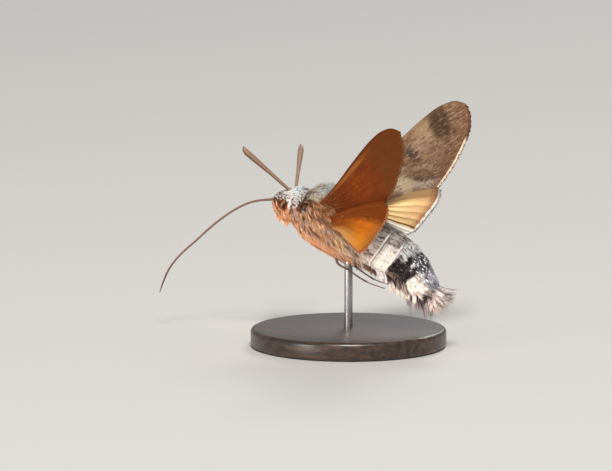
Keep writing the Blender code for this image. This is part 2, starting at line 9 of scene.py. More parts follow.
import bpy
import numpy as np
from mathutils import Matrix, Vector


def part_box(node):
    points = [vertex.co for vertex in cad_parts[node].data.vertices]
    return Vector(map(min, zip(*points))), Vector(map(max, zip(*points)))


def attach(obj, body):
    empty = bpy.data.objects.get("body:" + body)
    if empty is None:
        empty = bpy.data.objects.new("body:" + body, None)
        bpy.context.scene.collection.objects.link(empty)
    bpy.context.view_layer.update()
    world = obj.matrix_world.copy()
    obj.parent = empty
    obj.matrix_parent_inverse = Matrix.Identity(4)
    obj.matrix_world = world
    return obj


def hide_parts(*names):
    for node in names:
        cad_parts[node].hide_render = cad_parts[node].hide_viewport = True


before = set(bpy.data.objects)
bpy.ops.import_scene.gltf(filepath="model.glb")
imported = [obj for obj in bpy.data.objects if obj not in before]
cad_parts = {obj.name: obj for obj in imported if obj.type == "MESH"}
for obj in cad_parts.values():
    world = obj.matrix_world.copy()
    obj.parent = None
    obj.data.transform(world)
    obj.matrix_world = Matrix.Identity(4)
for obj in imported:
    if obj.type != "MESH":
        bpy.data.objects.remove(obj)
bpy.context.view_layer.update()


# Stand. A turned hardwood disc, stained almost black and waxed, with an eased rim. A ground steel
# rod is glued into its middle, and its top end is pinned into the breast of the moth.

MM = 0.001
STAND_SIDES = 144
ROD_SIDES = 48
RIM_EASE = 0.55 * MM
ROD_EASE = 0.1 * MM
ROD_INTO_BASE = 1.0 * MM
ROD_INTO_FUR = 0.5 * MM
STAIN_DARK = (0.012, 0.007, 0.005, 1.0)
STAIN_LIGHT = (0.060, 0.030, 0.018, 1.0)
STEEL_DARK = (0.30, 0.30, 0.31, 1.0)
STEEL_LIGHT = (0.52, 0.52, 0.53, 1.0)


def add_node(kind, inputs=None, tree=None, **settings):
    """A node with its settings made and its inputs filled or linked, in the tree of its sockets."""
    inputs = inputs or {}
    linked = {name: value for name, value in inputs.items() if isinstance(value, bpy.types.NodeSocket)}
    tree = tree or next(iter(linked.values())).id_data
    made = tree.nodes.new(kind)
    for name, value in settings.items():
        setattr(made, name, value)
    for name, value in inputs.items():
        if name in linked:
            tree.links.new(value, made.inputs[name])
        else:
            made.inputs[name].default_value = value
    return made


def maths(operation, first, second=0.0):
    """One step of arithmetic."""
    return add_node("ShaderNodeMath", {0: first, 1: second}, operation=operation).outputs[0]


def plus(first, second):
    return maths("ADD", first, second)


def less(first, second):
    return maths("SUBTRACT", first, second)


def times(first, *others):
    for other in others:
        first = maths("MULTIPLY", first, other)
    return first


def rise(value, low, high):
    """0 where the value is at low and 1 where it is at high, easing between."""
    ease = {"Value": value, "From Min": low, "From Max": high}
    return add_node("ShaderNodeMapRange", ease, interpolation_type="SMOOTHSTEP").outputs[0]


def remap(value, least, most):
    """A value from 0 to 1 as one from least to most."""
    return add_node("ShaderNodeMapRange", {"Value": value, "To Min": least, "To Max": most}).outputs[0]


def tint(mask, under, over, how="MIX"):
    """One colour over another where the mask is 1."""
    colours = {0: mask, 6: under, 7: over}
    return add_node("ShaderNodeMix", colours, data_type="RGBA", blend_type=how).outputs[2]


def stretch(vector, scale):
    """A vector scaled by its own amount each way."""
    return add_node("ShaderNodeVectorMath", {0: vector, 1: scale}, operation="MULTIPLY").outputs[0]


def noise(vector, scale, detail, rough):
    """A soft random value from 0 to 1 over the vector."""
    grain = {"Vector": vector, "Scale": scale, "Detail": detail, "Roughness": rough}
    return add_node("ShaderNodeTexNoise", grain).outputs[0]


def split(vector):
    """The three values of a vector."""
    return add_node("ShaderNodeSeparateXYZ", {0: vector}).outputs


def object_place(tree):
    return add_node("ShaderNodeTexCoord", tree=tree).outputs["Object"]


def new_material(name, slot="", **plain):
    """A material of this finish slot, its tree, and its shader with the values that are even over it."""
    made = bpy.data.materials.new(name)
    made["slot"] = slot
    made.use_nodes = True
    shader = made.node_tree.nodes["Principled BSDF"]
    for socket, value in plain.items():
        shader.inputs[socket.replace("_", " ")].default_value = value
    return made, made.node_tree, shader


def feed(shader, socket, value):
    """Links a value into one of the shader's sockets."""
    value.id_data.links.new(value, shader.inputs[socket])


def bump_into(shader, height, strength, depth):
    """Feeds a height into the shader's normal."""
    bump = {"Height": height, "Strength": strength, "Distance": depth}
    feed(shader, "Normal", add_node("ShaderNodeBump", bump).outputs[0])


def new_mesh(name, points, quads=(), triangles=(), values=None, corner_uv=None):
    """A smooth mesh from arrays, with named values on its points and an OFBake map on its corners."""
    mesh = bpy.data.meshes.new(name)
    points = np.asarray(points, float)
    quads = np.asarray(quads, np.int32).reshape(-1, 4)
    triangles = np.asarray(triangles, np.int32).reshape(-1, 3)
    every = np.concatenate([triangles, quads[:, :3], quads[:, [0, 2, 3]]])
    if np.einsum("ij,ij->", points[every[:, 0]], np.cross(points[every[:, 1]], points[every[:, 2]])) < 0:
        quads, triangles = quads[:, ::-1], triangles[:, ::-1]
    corners = np.concatenate([quads.ravel(), triangles.ravel()])
    sizes = np.concatenate([np.full(len(quads), 4), np.full(len(triangles), 3)])
    starts = np.concatenate([[0], np.cumsum(sizes)[:-1]]).astype(np.int32)
    mesh.vertices.add(len(points))
    mesh.vertices.foreach_set("co", np.asarray(points, np.float32).ravel())
    mesh.loops.add(len(corners))
    mesh.loops.foreach_set("vertex_index", corners)
    mesh.polygons.add(len(sizes))
    mesh.polygons.foreach_set("loop_start", starts)
    mesh.update(calc_edges=True)
    for label, value in (values or {}).items():
        value = np.asarray(value, np.float32)
        kind, field = ("FLOAT", "value") if value.ndim == 1 else ("FLOAT_VECTOR", "vector")
        mesh.attributes.new(label, kind, "POINT").data.foreach_set(field, value.ravel())
    if corner_uv is not None:
        layer = mesh.uv_layers.new(name="OFBake")
        layer.uv.foreach_set("vector", np.asarray(corner_uv, np.float32)[corners].ravel())
    mesh.shade_smooth()
    return mesh


def add_piece(name, mesh, material, *stands_for):
    """An object of the mesh that rides with the moth and takes the place of these solids."""
    piece = bpy.data.objects.new(name, mesh)
    bpy.context.scene.collection.objects.link(piece)
    mesh.materials.append(material)
    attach(piece, "root")
    if stands_for:
        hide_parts(*stands_for)
    return piece


def strip_faces(rings, columns, closed=True):
    """Quads between rings of points, one after another; closed joins each ring's ends."""
    row = np.arange(rings - 1)[:, None] * columns
    step = np.arange(columns if closed else columns - 1)[None, :]
    after = (step + 1) % columns
    corners = [row + step, row + after, row + columns + after, row + columns + step]
    return np.stack(corners, -1).reshape(-1, 4)


def fan_faces(pole, first, columns, flipped=False):
    """Triangles from a pole to the ring of points that starts at first."""
    side = np.arange(columns)
    after = (side + 1) % columns
    edge = (after, side) if flipped else (side, after)
    return np.stack([np.full(columns, pole), first + edge[0], first + edge[1]], 1)


def turned_mesh(name, profile, sides):
    """A turned solid: the profile's (radius, height) points from the underside's middle to the top's."""
    turn = np.linspace(0.0, 2 * math.pi, sides, endpoint=False)
    ring = np.stack([np.cos(turn), np.sin(turn)], 1)
    points = [np.column_stack([ring * radius, np.full(sides, height)]) for radius, height in profile[1:-1]]
    points = np.concatenate(points + [[[0.0, 0.0, profile[0][1]], [0.0, 0.0, profile[-1][1]]]])
    rings = len(profile) - 2
    count = rings * sides
    caps = [fan_faces(count, 0, sides, True), fan_faces(count + 1, count - sides, sides)]
    return new_mesh(name, points, strip_faces(rings, sides), np.concatenate(caps))


def eased_rim(radius, low, high, ease, steps=6):
    """Profile points of a disc or rod whose two rims are rounded."""
    quarter = np.linspace(0.0, math.pi / 2, steps)
    bottom = [(radius - ease * (1 - math.sin(a)), low + ease * (1 - math.cos(a))) for a in quarter]
    top = [(radius - ease * (1 - math.cos(a)), high - ease * (1 - math.sin(a))) for a in quarter]
    return [(0.0, low), *bottom, *top, (0.0, high)]


def stained_wood():
    made, tree, shader = new_material("stained_wood", "stand_wood", Coat_Weight=0.25, Coat_Roughness=0.25)
    place = object_place(tree)
    grain = noise(stretch(place, (90.0, 1400.0, 1400.0)), 1.0, 5.0, 0.6)
    pores = noise(stretch(place, (500.0, 6000.0, 6000.0)), 1.0, 2.0, 0.5)
    colour = tint(rise(grain, 0.35, 0.70), STAIN_DARK, STAIN_LIGHT)
    feed(shader, "Base Color", tint(rise(pores, 0.62, 0.70), colour, STAIN_DARK))
    feed(shader, "Roughness", remap(grain, 0.30, 0.48))
    bump_into(shader, pores, 0.25, 0.00006)
    return made


def ground_steel():
    made, tree, shader = new_material("ground_steel", "stand_steel", Metallic=1.0)
    rings = noise(stretch(object_place(tree), (300.0, 300.0, 14000.0)), 1.0, 3.0, 0.6)
    feed(shader, "Base Color", tint(rings, STEEL_DARK, STEEL_LIGHT))
    feed(shader, "Roughness", remap(rings, 0.24, 0.42))
    bump_into(shader, rings, 0.15, 0.00002)
    return made


base_low, base_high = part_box("stand_base")
rod_low, rod_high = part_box("stand_rod")
base_profile = eased_rim((base_high[0] - base_low[0]) / 2, 0.0, base_high[2], RIM_EASE)
rod_ends = (base_high[2] - ROD_INTO_BASE, rod_high[2] + ROD_INTO_FUR)
rod_profile = eased_rim((rod_high[0] - rod_low[0]) / 2, *rod_ends, ROD_EASE)
add_piece("stand_disc", turned_mesh("stand_disc", base_profile, STAND_SIDES), stained_wood(), "stand_base")
add_piece("stand_post", turned_mesh("stand_post", rod_profile, ROD_SIDES), ground_steel(), "stand_rod")


# Body. One skin runs from the snout over the head, the deep chest and the abdomen to the root of the
# tail, a coat's depth inside the solids. Its markings and painted light are those of the scales that
# grow from it.

BODY_PITCH = math.radians(22.0)
THORAX_CENTRE = np.array((-3.0, 0.0, 18.2))
# Place s, centre n, half depth, half width and coat depth, in millimetres.
BODY_SECTIONS = np.array([
    (-9.20, -0.88, 0.26, 0.40, 0.05),
    (-8.85, -0.72, 0.70, 0.95, 0.10),
    (-8.20, -0.55, 1.30, 1.50, 0.14),
    (-7.30, -0.50, 1.95, 1.95, 0.16),
    (-6.30, -0.45, 2.55, 2.30, 0.20),
    (-5.30, -0.50, 2.90, 2.50, 0.28),
    (-4.40, -0.60, 2.95, 2.50, 0.32),
    (-3.60, -0.25, 3.65, 3.10, 0.42),
    (-2.80, 0.00, 4.15, 3.65, 0.48),
    (-1.20, 0.08, 4.50, 4.05, 0.50),
    (0.80, 0.05, 4.62, 4.25, 0.50),
    (2.80, -0.05, 4.55, 4.20, 0.48),
    (4.70, -0.20, 4.25, 4.00, 0.42),
    (6.30, -0.35, 3.80, 3.75, 0.30),
    (8.00, -0.50, 3.62, 3.90, 0.22),
    (10.00, -0.60, 3.48, 4.00, 0.22),
    (12.00, -0.80, 3.33, 3.92, 0.22),
    (14.00, -1.20, 3.08, 3.65, 0.22),
    (16.00, -1.75, 2.62, 3.10, 0.22),
    (17.40, -2.20, 2.05, 2.50, 0.22),
    (18.40, -2.48, 1.50, 1.95, 0.20),
    (19.10, -2.60, 0.80, 1.05, 0.15),
    (19.40, -2.64, 0.20, 0.30, 0.05),
])
BODY_START = BODY_SECTIONS[0, 0]
BODY_END = BODY_SECTIONS[-1, 0]
SEGMENT_RIMS = (7.0, 10.45, 12.95, 15.3, 17.5)
# How far a ring's skin swells towards its rim and over what length, how near the coat's outside it
# starts again behind one, and a distance that stands for no rim.
SEGMENT_LIP = 0.10
LIP_LENGTH = 2.4
RIM_FILL = 0.14
FILL_LENGTH = 0.4
NO_RIM = 9.0
BODY_RINGS = 220
BODY_COLUMNS = 96
COAT_BASE = (0.56, 0.31, 0.18)
# Markings and painted light, each painted over the last: colour, s from and to, its edge, height on
# the body's round from and to (-1 belly, 1 back), its edge, and strength. Rows of painted light say so.
MARKINGS_AND_PAINTED_LIGHT = [
    ((0.50, 0.47, 0.39), -4.7, 7.0, 0.4, 0.60, 1.5, 0.10, 1.0),
    ((0.50, 0.47, 0.39), -4.7, -1.2, 0.4, 0.46, 1.5, 0.10, 1.0),
    ((0.38, 0.18, 0.090), -1.0, 3.2, 0.3, 0.46, 0.76, 0.08, 0.9),
    # A painted highlight: pale bluish grey on top of the thorax.
    ((0.60, 0.64, 0.63), -2.2, 0.6, 0.4, 0.80, 1.5, 0.10, 0.7),
    ((0.48, 0.29, 0.155), -2.2, -0.6, 0.4, 0.34, 0.60, 0.07, 0.8),
    ((0.54, 0.33, 0.20), -2.6, 5.4, 0.6, -0.40, 0.30, 0.10, 0.8),
    ((0.36, 0.145, 0.070), -1.6, 4.5, 0.6, 0.10, 0.48, 0.10, 0.85),
    ((0.055, 0.024, 0.014), -3.9, -2.0, 0.30, 0.00, 0.52, 0.10, 0.95),
    # A painted shadow: a dark line under the cream shoulder hair.
    ((0.075, 0.034, 0.020), -2.4, -0.9, 0.30, 0.40, 0.54, 0.05, 0.85),
    # Peach under the chest: partly the scales' own colour, partly painted warm bounce light from below.
    ((0.84, 0.48, 0.30), -4.8, 6.6, 0.5, -1.5, -0.46, 0.12, 0.95),
    ((0.78, 0.60, 0.50), 4.2, 9.4, 0.6, -0.70, 0.05, 0.12, 0.9),
    # Peach on the lower head and throat: partly the scales' own colour, partly painted warm bounce light.
    ((0.60, 0.32, 0.185), -9.6, -4.3, 0.35, -1.5, -0.24, 0.10, 1.0),
    ((0.70, 0.675, 0.665), -9.6, -4.3, 0.3, 0.08, 1.5, 0.08, 1.0),
    ((0.72, 0.71, 0.70), -9.6, -4.3, 0.3, 0.56, 1.5, 0.08, 0.9),
    # A painted highlight: cool bluish white on top of the head.
    ((0.66, 0.76, 0.84), -6.8, -5.0, 0.3, 0.74, 1.5, 0.10, 0.75),
    ((0.11, 0.085, 0.085), -8.7, -5.8, 0.3, 0.47, 0.51, 0.025, 0.75),
    ((0.11, 0.085, 0.085), -7.4, -4.5, 0.3, 0.62, 0.66, 0.025, 0.75),
    ((0.13, 0.095, 0.085), -5.7, -4.4, 0.2, 0.50, 0.54, 0.025, 0.7),
    ((0.09, 0.030, 0.014), -9.4, -7.3, 0.2, -0.60, -0.02, 0.07, 0.92),
    ((0.30, 0.09, 0.022), -8.5, -7.5, 0.15, -0.46, -0.32, 0.04, 0.7),
    ((0.06, 0.040, 0.045), -8.3, -5.5, 0.20, 0.07, 0.19, 0.04, 0.85),
    ((0.06, 0.040, 0.045), -8.9, -7.4, 0.25, 0.30, 0.42, 0.05, 0.75),
    ((0.78, 0.74, 0.79), -5.94, -5.46, 0.05, -0.20, 0.42, 0.06, 1.0),
    ((0.06, 0.038, 0.042), -5.38, -5.08, 0.06, -0.42, 0.32, 0.08, 0.95),
    ((0.46, 0.30, 0.25), -4.9, -4.1, 0.25, -0.40, 0.10, 0.10, 0.7),
    ((0.10, 0.030, 0.012), -9.6, -8.80, 0.12, -0.60, 0.10, 0.10, 0.9),
    ((0.62, 0.59, 0.58), 6.9, 21.0, 0.4, -1.5, 1.5, 0.10, 1.0),
    ((0.36, 0.33, 0.305), 6.4, 12.9, 0.3, 0.66, 1.5, 0.12, 0.9),
    ((0.15, 0.085, 0.06), 7.0, 12.2, 0.5, -1.5, -0.60, 0.10, 0.9),
    ((0.42, 0.33, 0.30), 12.3, 19.3, 0.5, -1.5, -0.75, 0.10, 0.9),
    ((0.69, 0.67, 0.645), 10.50, 12.95, 0.05, -0.66, 0.62, 0.14, 1.0),
    ((0.58, 0.59, 0.62), 12.95, 15.0, 0.10, 0.50, 1.5, 0.12, 0.95),
    ((0.15, 0.105, 0.080), 13.15, 16.1, 0.20, -0.90, -0.10, 0.12, 0.95),
    ((0.018, 0.014, 0.018), 13.10, 16.2, 0.15, -0.22, 0.56, 0.10, 1.0),
    ((0.020, 0.016, 0.022), 14.4, 16.5, 0.20, 0.26, 0.88, 0.09, 1.0),
    ((0.060, 0.060, 0.085), 15.0, 17.9, 0.25, 0.72, 1.5, 0.10, 0.95),
    ((0.88, 0.84, 0.81), 16.4, 18.8, 0.20, -0.90, 0.44, 0.09, 1.0),
    ((0.38, 0.40, 0.50), 17.8, 19.5, 0.25, 0.50, 1.5, 0.12, 0.95),
    ((0.05, 0.035, 0.035), 18.9, 19.7, 0.15, -1.5, -0.30, 0.12, 0.9),
]
# Where the coat is smooth and even: place s from and to, height from and to, and strength.
CALM_PLACES = [
    (10.3, 13.0, -0.60, 0.62, 0.65), (13.0, 15.2, 0.45, 0.80, 0.5),
    (-9.6, 6.6, -1.5, -0.46, 0.50), (16.2, 18.8, -0.9, 0.5, 0.6),
]
# Pale scales that break the dark rear of the back: colour, place s from and to, height from and full at.
PALE_FLECKS = ((0.84, 0.86, 0.90), 15.2, 19.3, 0.42, 0.60)
# Pale hind rims of the abdomen's rings: place s and strength.
RIM_LINES = [(7.0, 0.30), (10.45, 1.0), (12.95, 1.0), (15.3, 0.04), (17.5, 0.40)]
RIM_DARK = (0.10, 0.06, 0.07)
RIM_PALE = (1.0, 0.98, 0.97)
STREAK_SHADE = (0.22, 0.14, 0.12, 1.0)
FLECK_LIGHT = (0.13, 0.10, 0.085, 1.0)
ROOT_SHADE = (0.05, 0.035, 0.03, 1.0)
STRAND_SHADES = (0.62, 1.25)
SKIN_STRAND = 0.25


def smooth_through(knots, values, at):
    """Values at places along a cubic Hermite curve through the knots."""
    slopes = np.gradient(values, knots, axis=0)
    i = np.clip(np.searchsorted(knots, at, side="right") - 1, 0, len(knots) - 2)
    step = (knots[i + 1] - knots[i])[..., None]
    t = (at - knots[i])[..., None] / step
    gain = values[i + 1] - values[i]
    bend_in = slopes[i] * step - gain
    bend_out = gain - slopes[i + 1] * step
    return values[i] + t * gain + t * (1 - t) * ((1 - t) * bend_in + t * bend_out)


def unit(vectors):
    """The vectors at length 1."""
    return vectors / np.maximum(np.linalg.norm(vectors, axis=-1, keepdims=True), 1e-12)


def square_to(vectors, way):
    """What of the vectors is square to a unit way, at length 1."""
    return unit(vectors - way * (vectors * way).sum(-1, keepdims=True))


def turned_way(angle, first, second):
    """Ways turned by these angles from the first towards the second."""
    return np.cos(angle)[:, None] * first + np.sin(angle)[:, None] * second


def turned_to_world(vectors):
    """Body-frame (s, y, n) vectors as world ones, in the same units."""
    s, y, n = np.moveaxis(np.asarray(vectors, float), -1, 0)
    c, d = math.cos(BODY_PITCH), math.sin(BODY_PITCH)
    return np.stack([s * c + n * d, y, n * c - s * d], -1)


def body_to_world(places):
    """Body places in millimetres as world points in metres."""
    return (turned_to_world(places) + THORAX_CENTRE) * MM


def ring_place(s, angle):
    """Place s as the abdomen's rings have it: their rims slant forward under the side and on the back."""
    height = np.sin(angle)
    below = np.minimum(0.9 * np.maximum(0.5 - height, 0.0) ** 1.6, 0.7)
    above = 2.0 * np.maximum(height - 0.6, 0.0) ** 2
    return s + (below + above) * np.clip((s - 6.5) / 2.0, 0.0, 1.0)


def marked_place(s, angle):
    """Where the markings find a place on the body: s in its rings, height and side."""
    return np.stack([ring_place(s, angle), np.sin(angle), np.cos(angle)], 1)


def body_surface(s, angle):
    """Body places on the skin."""
    shape = smooth_through(BODY_SECTIONS[:, 0], BODY_SECTIONS[:, 1:], s)
    at = ring_place(s, angle)
    to_rims = np.array(SEGMENT_RIMS) - at[..., None]
    gap = np.where(to_rims > 0, to_rims, NO_RIM).min(-1)
    behind = np.where(to_rims < 0, -to_rims, NO_RIM).min(-1)
    ringed = (at > SEGMENT_RIMS[0]) * (at < SEGMENT_RIMS[-1])
    lip = SEGMENT_LIP * np.clip(1.0 - gap / LIP_LENGTH, 0.0, 1.0) * ringed
    grown = lip + (RIM_FILL * np.exp(-behind / FILL_LENGTH) - shape[..., 3])
    y = (shape[..., 2] + grown) * np.cos(angle)
    n = shape[..., 0] + (shape[..., 1] + grown) * np.sin(angle)
    return np.stack([s, y, n], -1)


def body_directions(s, angle):
    """Outward and tailward body-frame directions of the skin at these places."""
    tail = unit(body_surface(s + 0.05, angle) - body_surface(s - 0.05, angle))
    round_way = body_surface(s, angle + 0.02) - body_surface(s, angle - 0.02)
    return unit(np.cross(round_way, tail)), tail


def in_map(share):
    """A share of the OFBake map's side, inside its border."""
    return 0.02 + 0.96 * share


def body_map(s, angle):
    """The skin's unwrap: along the body, then round it."""
    along = (s - BODY_START) / (BODY_END + 4.0 - BODY_START)
    return in_map(np.stack([along, np.mod(angle / (2 * math.pi), 1.0)], -1))


def spread_by(value, low, high, edge):
    """1 between low and high, easing to 0 over the edge."""
    return times(rise(value, low - edge, low + edge), rise(value, high + edge, high - edge))


def wandered(value, clouds, reach):
    """A value shifted about by a random one."""
    return plus(value, times(less(clouds, 0.5), reach))


def painted(colour, *layers):
    """A colour with others painted over it in turn, each a mask, a colour and a strength."""
    for where, paint, strength in layers:
        colour = tint(times(where, strength), colour, (*paint, 1.0))
    return colour


def toned(colour, shade):
    """A colour made darker or lighter by a shade."""
    grey = add_node("ShaderNodeCombineColor", {channel: shade for channel in range(3)}).outputs[0]
    return tint(1.0, colour, grey, "MULTIPLY")


def attribute(tree, name, output="Fac"):
    return add_node("ShaderNodeAttribute", tree=tree, attribute_name=name).outputs[output]


def new_group(name, inputs, outputs):
    """A shader node group with these sockets, its entry and its way out."""
    tree = bpy.data.node_groups.new(name, "ShaderNodeTree")
    for way, sockets in (("INPUT", inputs), ("OUTPUT", outputs)):
        for socket, kind in sockets.items():
            tree.interface.new_socket(socket, in_out=way, socket_type=f"NodeSocket{kind}")
    return tree, tree.nodes.new("NodeGroupInput"), tree.nodes.new("NodeGroupOutput")


def markings_and_painted_light_group():
    """The body's markings and painted light at (s, height, side), varied by strand and along each lock."""
    inputs = {"Place": "Vector", "Strand": "Float", "Along": "Float"}
    tree, entry, leave = new_group("moth_markings_and_painted_light", inputs, {"Colour": "Color", "Height": "Float"})
    place, strand, along = (entry.outputs[name] for name in inputs)
    ring_s, height, _ = split(place)
    in_mm = stretch(place, (1.0, 4.0, 4.0))
    streaks = noise(stretch(in_mm, (0.60, 2.4, 2.4)), 1.0, 3.0, 0.6)
    flecks = noise(stretch(in_mm, (1.3, 3.2, 3.2)), 1.3, 2.0, 0.6)
    s = wandered(ring_s, noise(in_mm, 1.6, 2.0, 0.6), 0.9)
    up = wandered(height, noise(in_mm, 1.1, 2.0, 0.6), 0.45)
    colour = (*COAT_BASE, 1.0)
    for paint, s_from, s_to, s_edge, up_from, up_to, up_edge, strength in MARKINGS_AND_PAINTED_LIGHT:
        mask = times(spread_by(s, s_from, s_to, s_edge), spread_by(up, up_from, up_to, up_edge))
        colour = painted(colour, (mask, paint, strength))
    pale, s_from, s_to, up_from, up_full = PALE_FLECKS
    fleck = times(spread_by(s, s_from, s_to, 0.3), rise(up, up_from, up_full))
    fleck = times(fleck, rise(noise(in_mm, 2.6, 1.0, 0.5), 0.54, 0.60))
    colour = tint(fleck, colour, (*pale, 1.0))
    calm = 0.0
    for s_from, s_to, up_from, up_to, strength in CALM_PLACES:
        mask = times(spread_by(s, s_from, s_to, 0.2), spread_by(up, up_from, up_to, 0.15), strength)
        calm = maths("MAXIMUM", calm, mask)
    rough = less(1.0, calm)
    dark = tint(1.0, colour, STREAK_SHADE, "MULTIPLY")
    colour = tint(times(rise(streaks, 0.51, 0.62), 0.90, rough), colour, dark)
    light = tint(1.0, colour, FLECK_LIGHT, "ADD")
    colour = tint(times(rise(flecks, 0.56, 0.72), rough), colour, light)
    colour = toned(colour, plus(times(remap(strand, *STRAND_SHADES), rough), calm))
    seen = plus(times(rise(height, 0.96, 0.84), 0.7), 0.3)
    for rim, strength in RIM_LINES:
        dark = times(seen, spread_by(ring_s, rim + 0.08, rim + 0.20, 0.04))
        pale = times(seen, spread_by(ring_s, rim - 0.25, rim + 0.05, 0.04))
        colour = painted(colour, (dark, RIM_DARK, strength * 0.65), (pale, RIM_PALE, strength * 0.95))
    rooted = times(rise(along, 0.55, 0.0), 0.45, rise(ring_s, 9.0, 7.0))
    tree.links.new(tint(rooted, colour, ROOT_SHADE), leave.inputs["Colour"])
    tree.links.new(streaks, leave.inputs["Height"])
    return tree


def scaled_coat(name, group, height):
    """A matt coat of scales in the body's markings and painted light."""
    made, tree, shader = new_material(name, "scales_grey", Roughness=0.75, Specular_IOR_Level=0.12)
    strand, along, reach = (attribute(tree, value) for value in ("strand", "along", "reach"))
    ahead = add_node("ShaderNodeCombineXYZ", {0: times(reach, along)}).outputs[0]
    place = {0: attribute(tree, "place", "Vector"), 1: ahead}
    place = add_node("ShaderNodeVectorMath", place, operation="ADD").outputs[0]
    inputs = {"Place": place, "Strand": strand, "Along": along}
    marks = add_node("ShaderNodeGroup", tree=tree, node_tree=group)
    for socket, value in inputs.items():
        tree.links.new(value, marks.inputs[socket])
    feed(shader, "Base Color", marks.outputs["Colour"])
    bump_into(shader, marks.outputs["Height"], height, 0.0001)
    return made


def point_grid(rows, columns):
    """Every pair of a row value and a column value, row by row."""
    return (values.ravel() for values in np.meshgrid(rows, columns, indexing="ij"))


coat_scales = scaled_coat("coat_scales", markings_and_painted_light_group(), 0.15)
rows = BODY_START + (BODY_END - BODY_START) * np.linspace(0.0, 1.0, BODY_RINGS)
grid_s, grid_turn = point_grid(rows, np.linspace(0.0, 2 * math.pi, BODY_COLUMNS, endpoint=False))
ends = [(BODY_SECTIONS[end, 0], 0.0, BODY_SECTIONS[end, 1]) for end in (0, -1)]
skin_count = len(grid_s)
caps = [
    fan_faces(skin_count, 0, BODY_COLUMNS),
    fan_faces(skin_count + 1, skin_count - BODY_COLUMNS, BODY_COLUMNS, True),
]
skin_mesh = new_mesh(
    "moth_skin", body_to_world(np.concatenate([body_surface(grid_s, grid_turn), ends])),
    strip_faces(BODY_RINGS, BODY_COLUMNS)[:, ::-1], np.concatenate(caps),
    {
        "place": np.concatenate([marked_place(grid_s, grid_turn), [(s, 0.0, 1.0) for s, _, _ in ends]]),
        "strand": np.full(skin_count + 2, SKIN_STRAND),
        "along": np.full(skin_count + 2, SKIN_STRAND),
    },
)
add_piece("moth_skin", skin_mesh, coat_scales, "head", "thorax", "abdomen")


# Coat. Fine scales and hairs root in the skin and lie back along the body: shortest on the face,
# longest and loosest on the chest, flat and broad in the rings of the abdomen.

MAP_PATCH = 0.0015
EYE_PLACE = (-6.70, 1.70, -0.84)
EYE_HALF = (0.90, 0.96, 0.84)
# Place s, hairs on a square millimetre, length, width, lift in degrees, curl in degrees, droop.
COAT_SECTIONS = np.array([
    (-9.3, 420, 0.22, 0.075, 14, 10, 0.0),
    (-8.2, 380, 0.31, 0.078, 16, 14, 0.0),
    (-6.6, 330, 0.42, 0.080, 19, 18, 0.0),
    (-5.3, 260, 0.55, 0.085, 20, 20, 0.2),
    (-4.2, 190, 0.95, 0.085, 24, 24, 0.5),
    (-2.5, 130, 1.35, 0.085, 22, 22, 0.6),
    (2.0, 110, 1.55, 0.090, 20, 20, 0.6),
    (5.5, 110, 1.35, 0.095, 18, 20, 0.4),
    (7.5, 120, 0.85, 0.120, 14, 16, 0.2),
    (10.0, 130, 0.75, 0.130, 11, 12, 0.1),
    (16.0, 130, 0.75, 0.130, 12, 12, 0.1),
    (19.5, 130, 0.85, 0.110, 20, 16, 0.0),
])
RINGED_FROM = 7.0
LENGTH_SPREAD = 0.35
SIDE_SWING = 0.22


def sequence(count, seed):
    """Points spread evenly over the unit square."""
    index = np.arange(1, count + 1)
    return np.stack([(seed + 0.7548776662 * index) % 1.0, (seed * 1.7 + 0.5698402910 * index) % 1.0], 1)


def spread_places(low, high, density, girth, seed, steps=400):
    """Places s between low and high and turns round the body, as dense as asked for."""
    s = np.linspace(low, high, steps)
    weight = density(s) * girth(s)
    total = np.concatenate([[0.0], np.cumsum((weight[1:] + weight[:-1]) / 2 * np.diff(s))])
    even = sequence(int(total[-1]), seed)
    return np.interp(even[:, 0] * total[-1], total, s), even[:, 1] * 2 * math.pi


def lock_mesh(name, roots, lie, out, length, width, lift, curl, marks, root_map, rings=2, sides=0.45):
    """Tapered three-sided hairs that leave the skin at lift and curl back onto it, as one mesh.

    roots, lie and out are body places and directions, length and width are in millimetres, lift and
    curl are in radians, and marks holds each hair's own values.
    """
    count = len(roots)
    roots, lie, out = body_to_world(roots), turned_to_world(lie), turned_to_world(out)
    length, width, lift = (np.broadcast_to(value, count) for value in (length * MM, width * MM, lift))
    across = unit(np.cross(out, lie))
    shares = np.linspace(0.0, 1.0, rings + 1)
    spine = roots - out * (0.25 * width)[:, None]
    points, along, maps = [], [], []
    corner_side = np.array((-1.0, 1.0, 0.0))
    for i in range(rings):
        share = shares[i]
        angle = lift - curl * share
        half = 0.5 * width * (0.80 + 0.45 * share if i < 2 else 1.15 * (1 - share) + 0.25)
        up_way = turned_way(angle, out, -lie)
        for side in range(3):
            raised = sides * half * (1.0 if side == 2 else -0.15)
            points.append(spine + across * (corner_side[side] * half)[:, None] + up_way * raised[:, None])
            along.append(np.full(count, share))
            maps.append((corner_side[side] * (1 - 0.5 * share), 2 * share - 1 - 0.2 * (side == 2)))
        spine = spine + turned_way(angle, lie, out) * (length * (shares[i + 1] - share))[:, None]
    points.append(spine)
    along.append(np.ones(count))
    maps.append((0.0, 1.0))
    each = len(points)
    points = np.stack(points, 1).reshape(-1, 3)
    corner_map = (root_map[:, None, :] + (np.array(maps) * MAP_PATCH)[None]).reshape(-1, 2)
    first = np.arange(count)[:, None] * each
    ladder = [
        (3 * i + side, 3 * i + (side + 1) % 3, 3 * i + 3 + (side + 1) % 3, 3 * i + 3 + side)
        for i in range(rings - 1) for side in range(3)
    ]
    tip_from = 3 * (rings - 1)
    ends = [(tip_from + side, tip_from + (side + 1) % 3, each - 1) for side in range(3)] + [(2, 1, 0)]
    quads = (first[:, None, :] + np.array(ladder)[None]).reshape(-1, 4)
    triangles = (first[:, None, :] + np.array(ends)[None]).reshape(-1, 3)
    values = {label: np.repeat(value, each, 0) for label, value in marks.items()}
    values["along"] = np.stack(along, 1).ravel()
    return new_mesh(name, points, quads, triangles, values, corner_map)


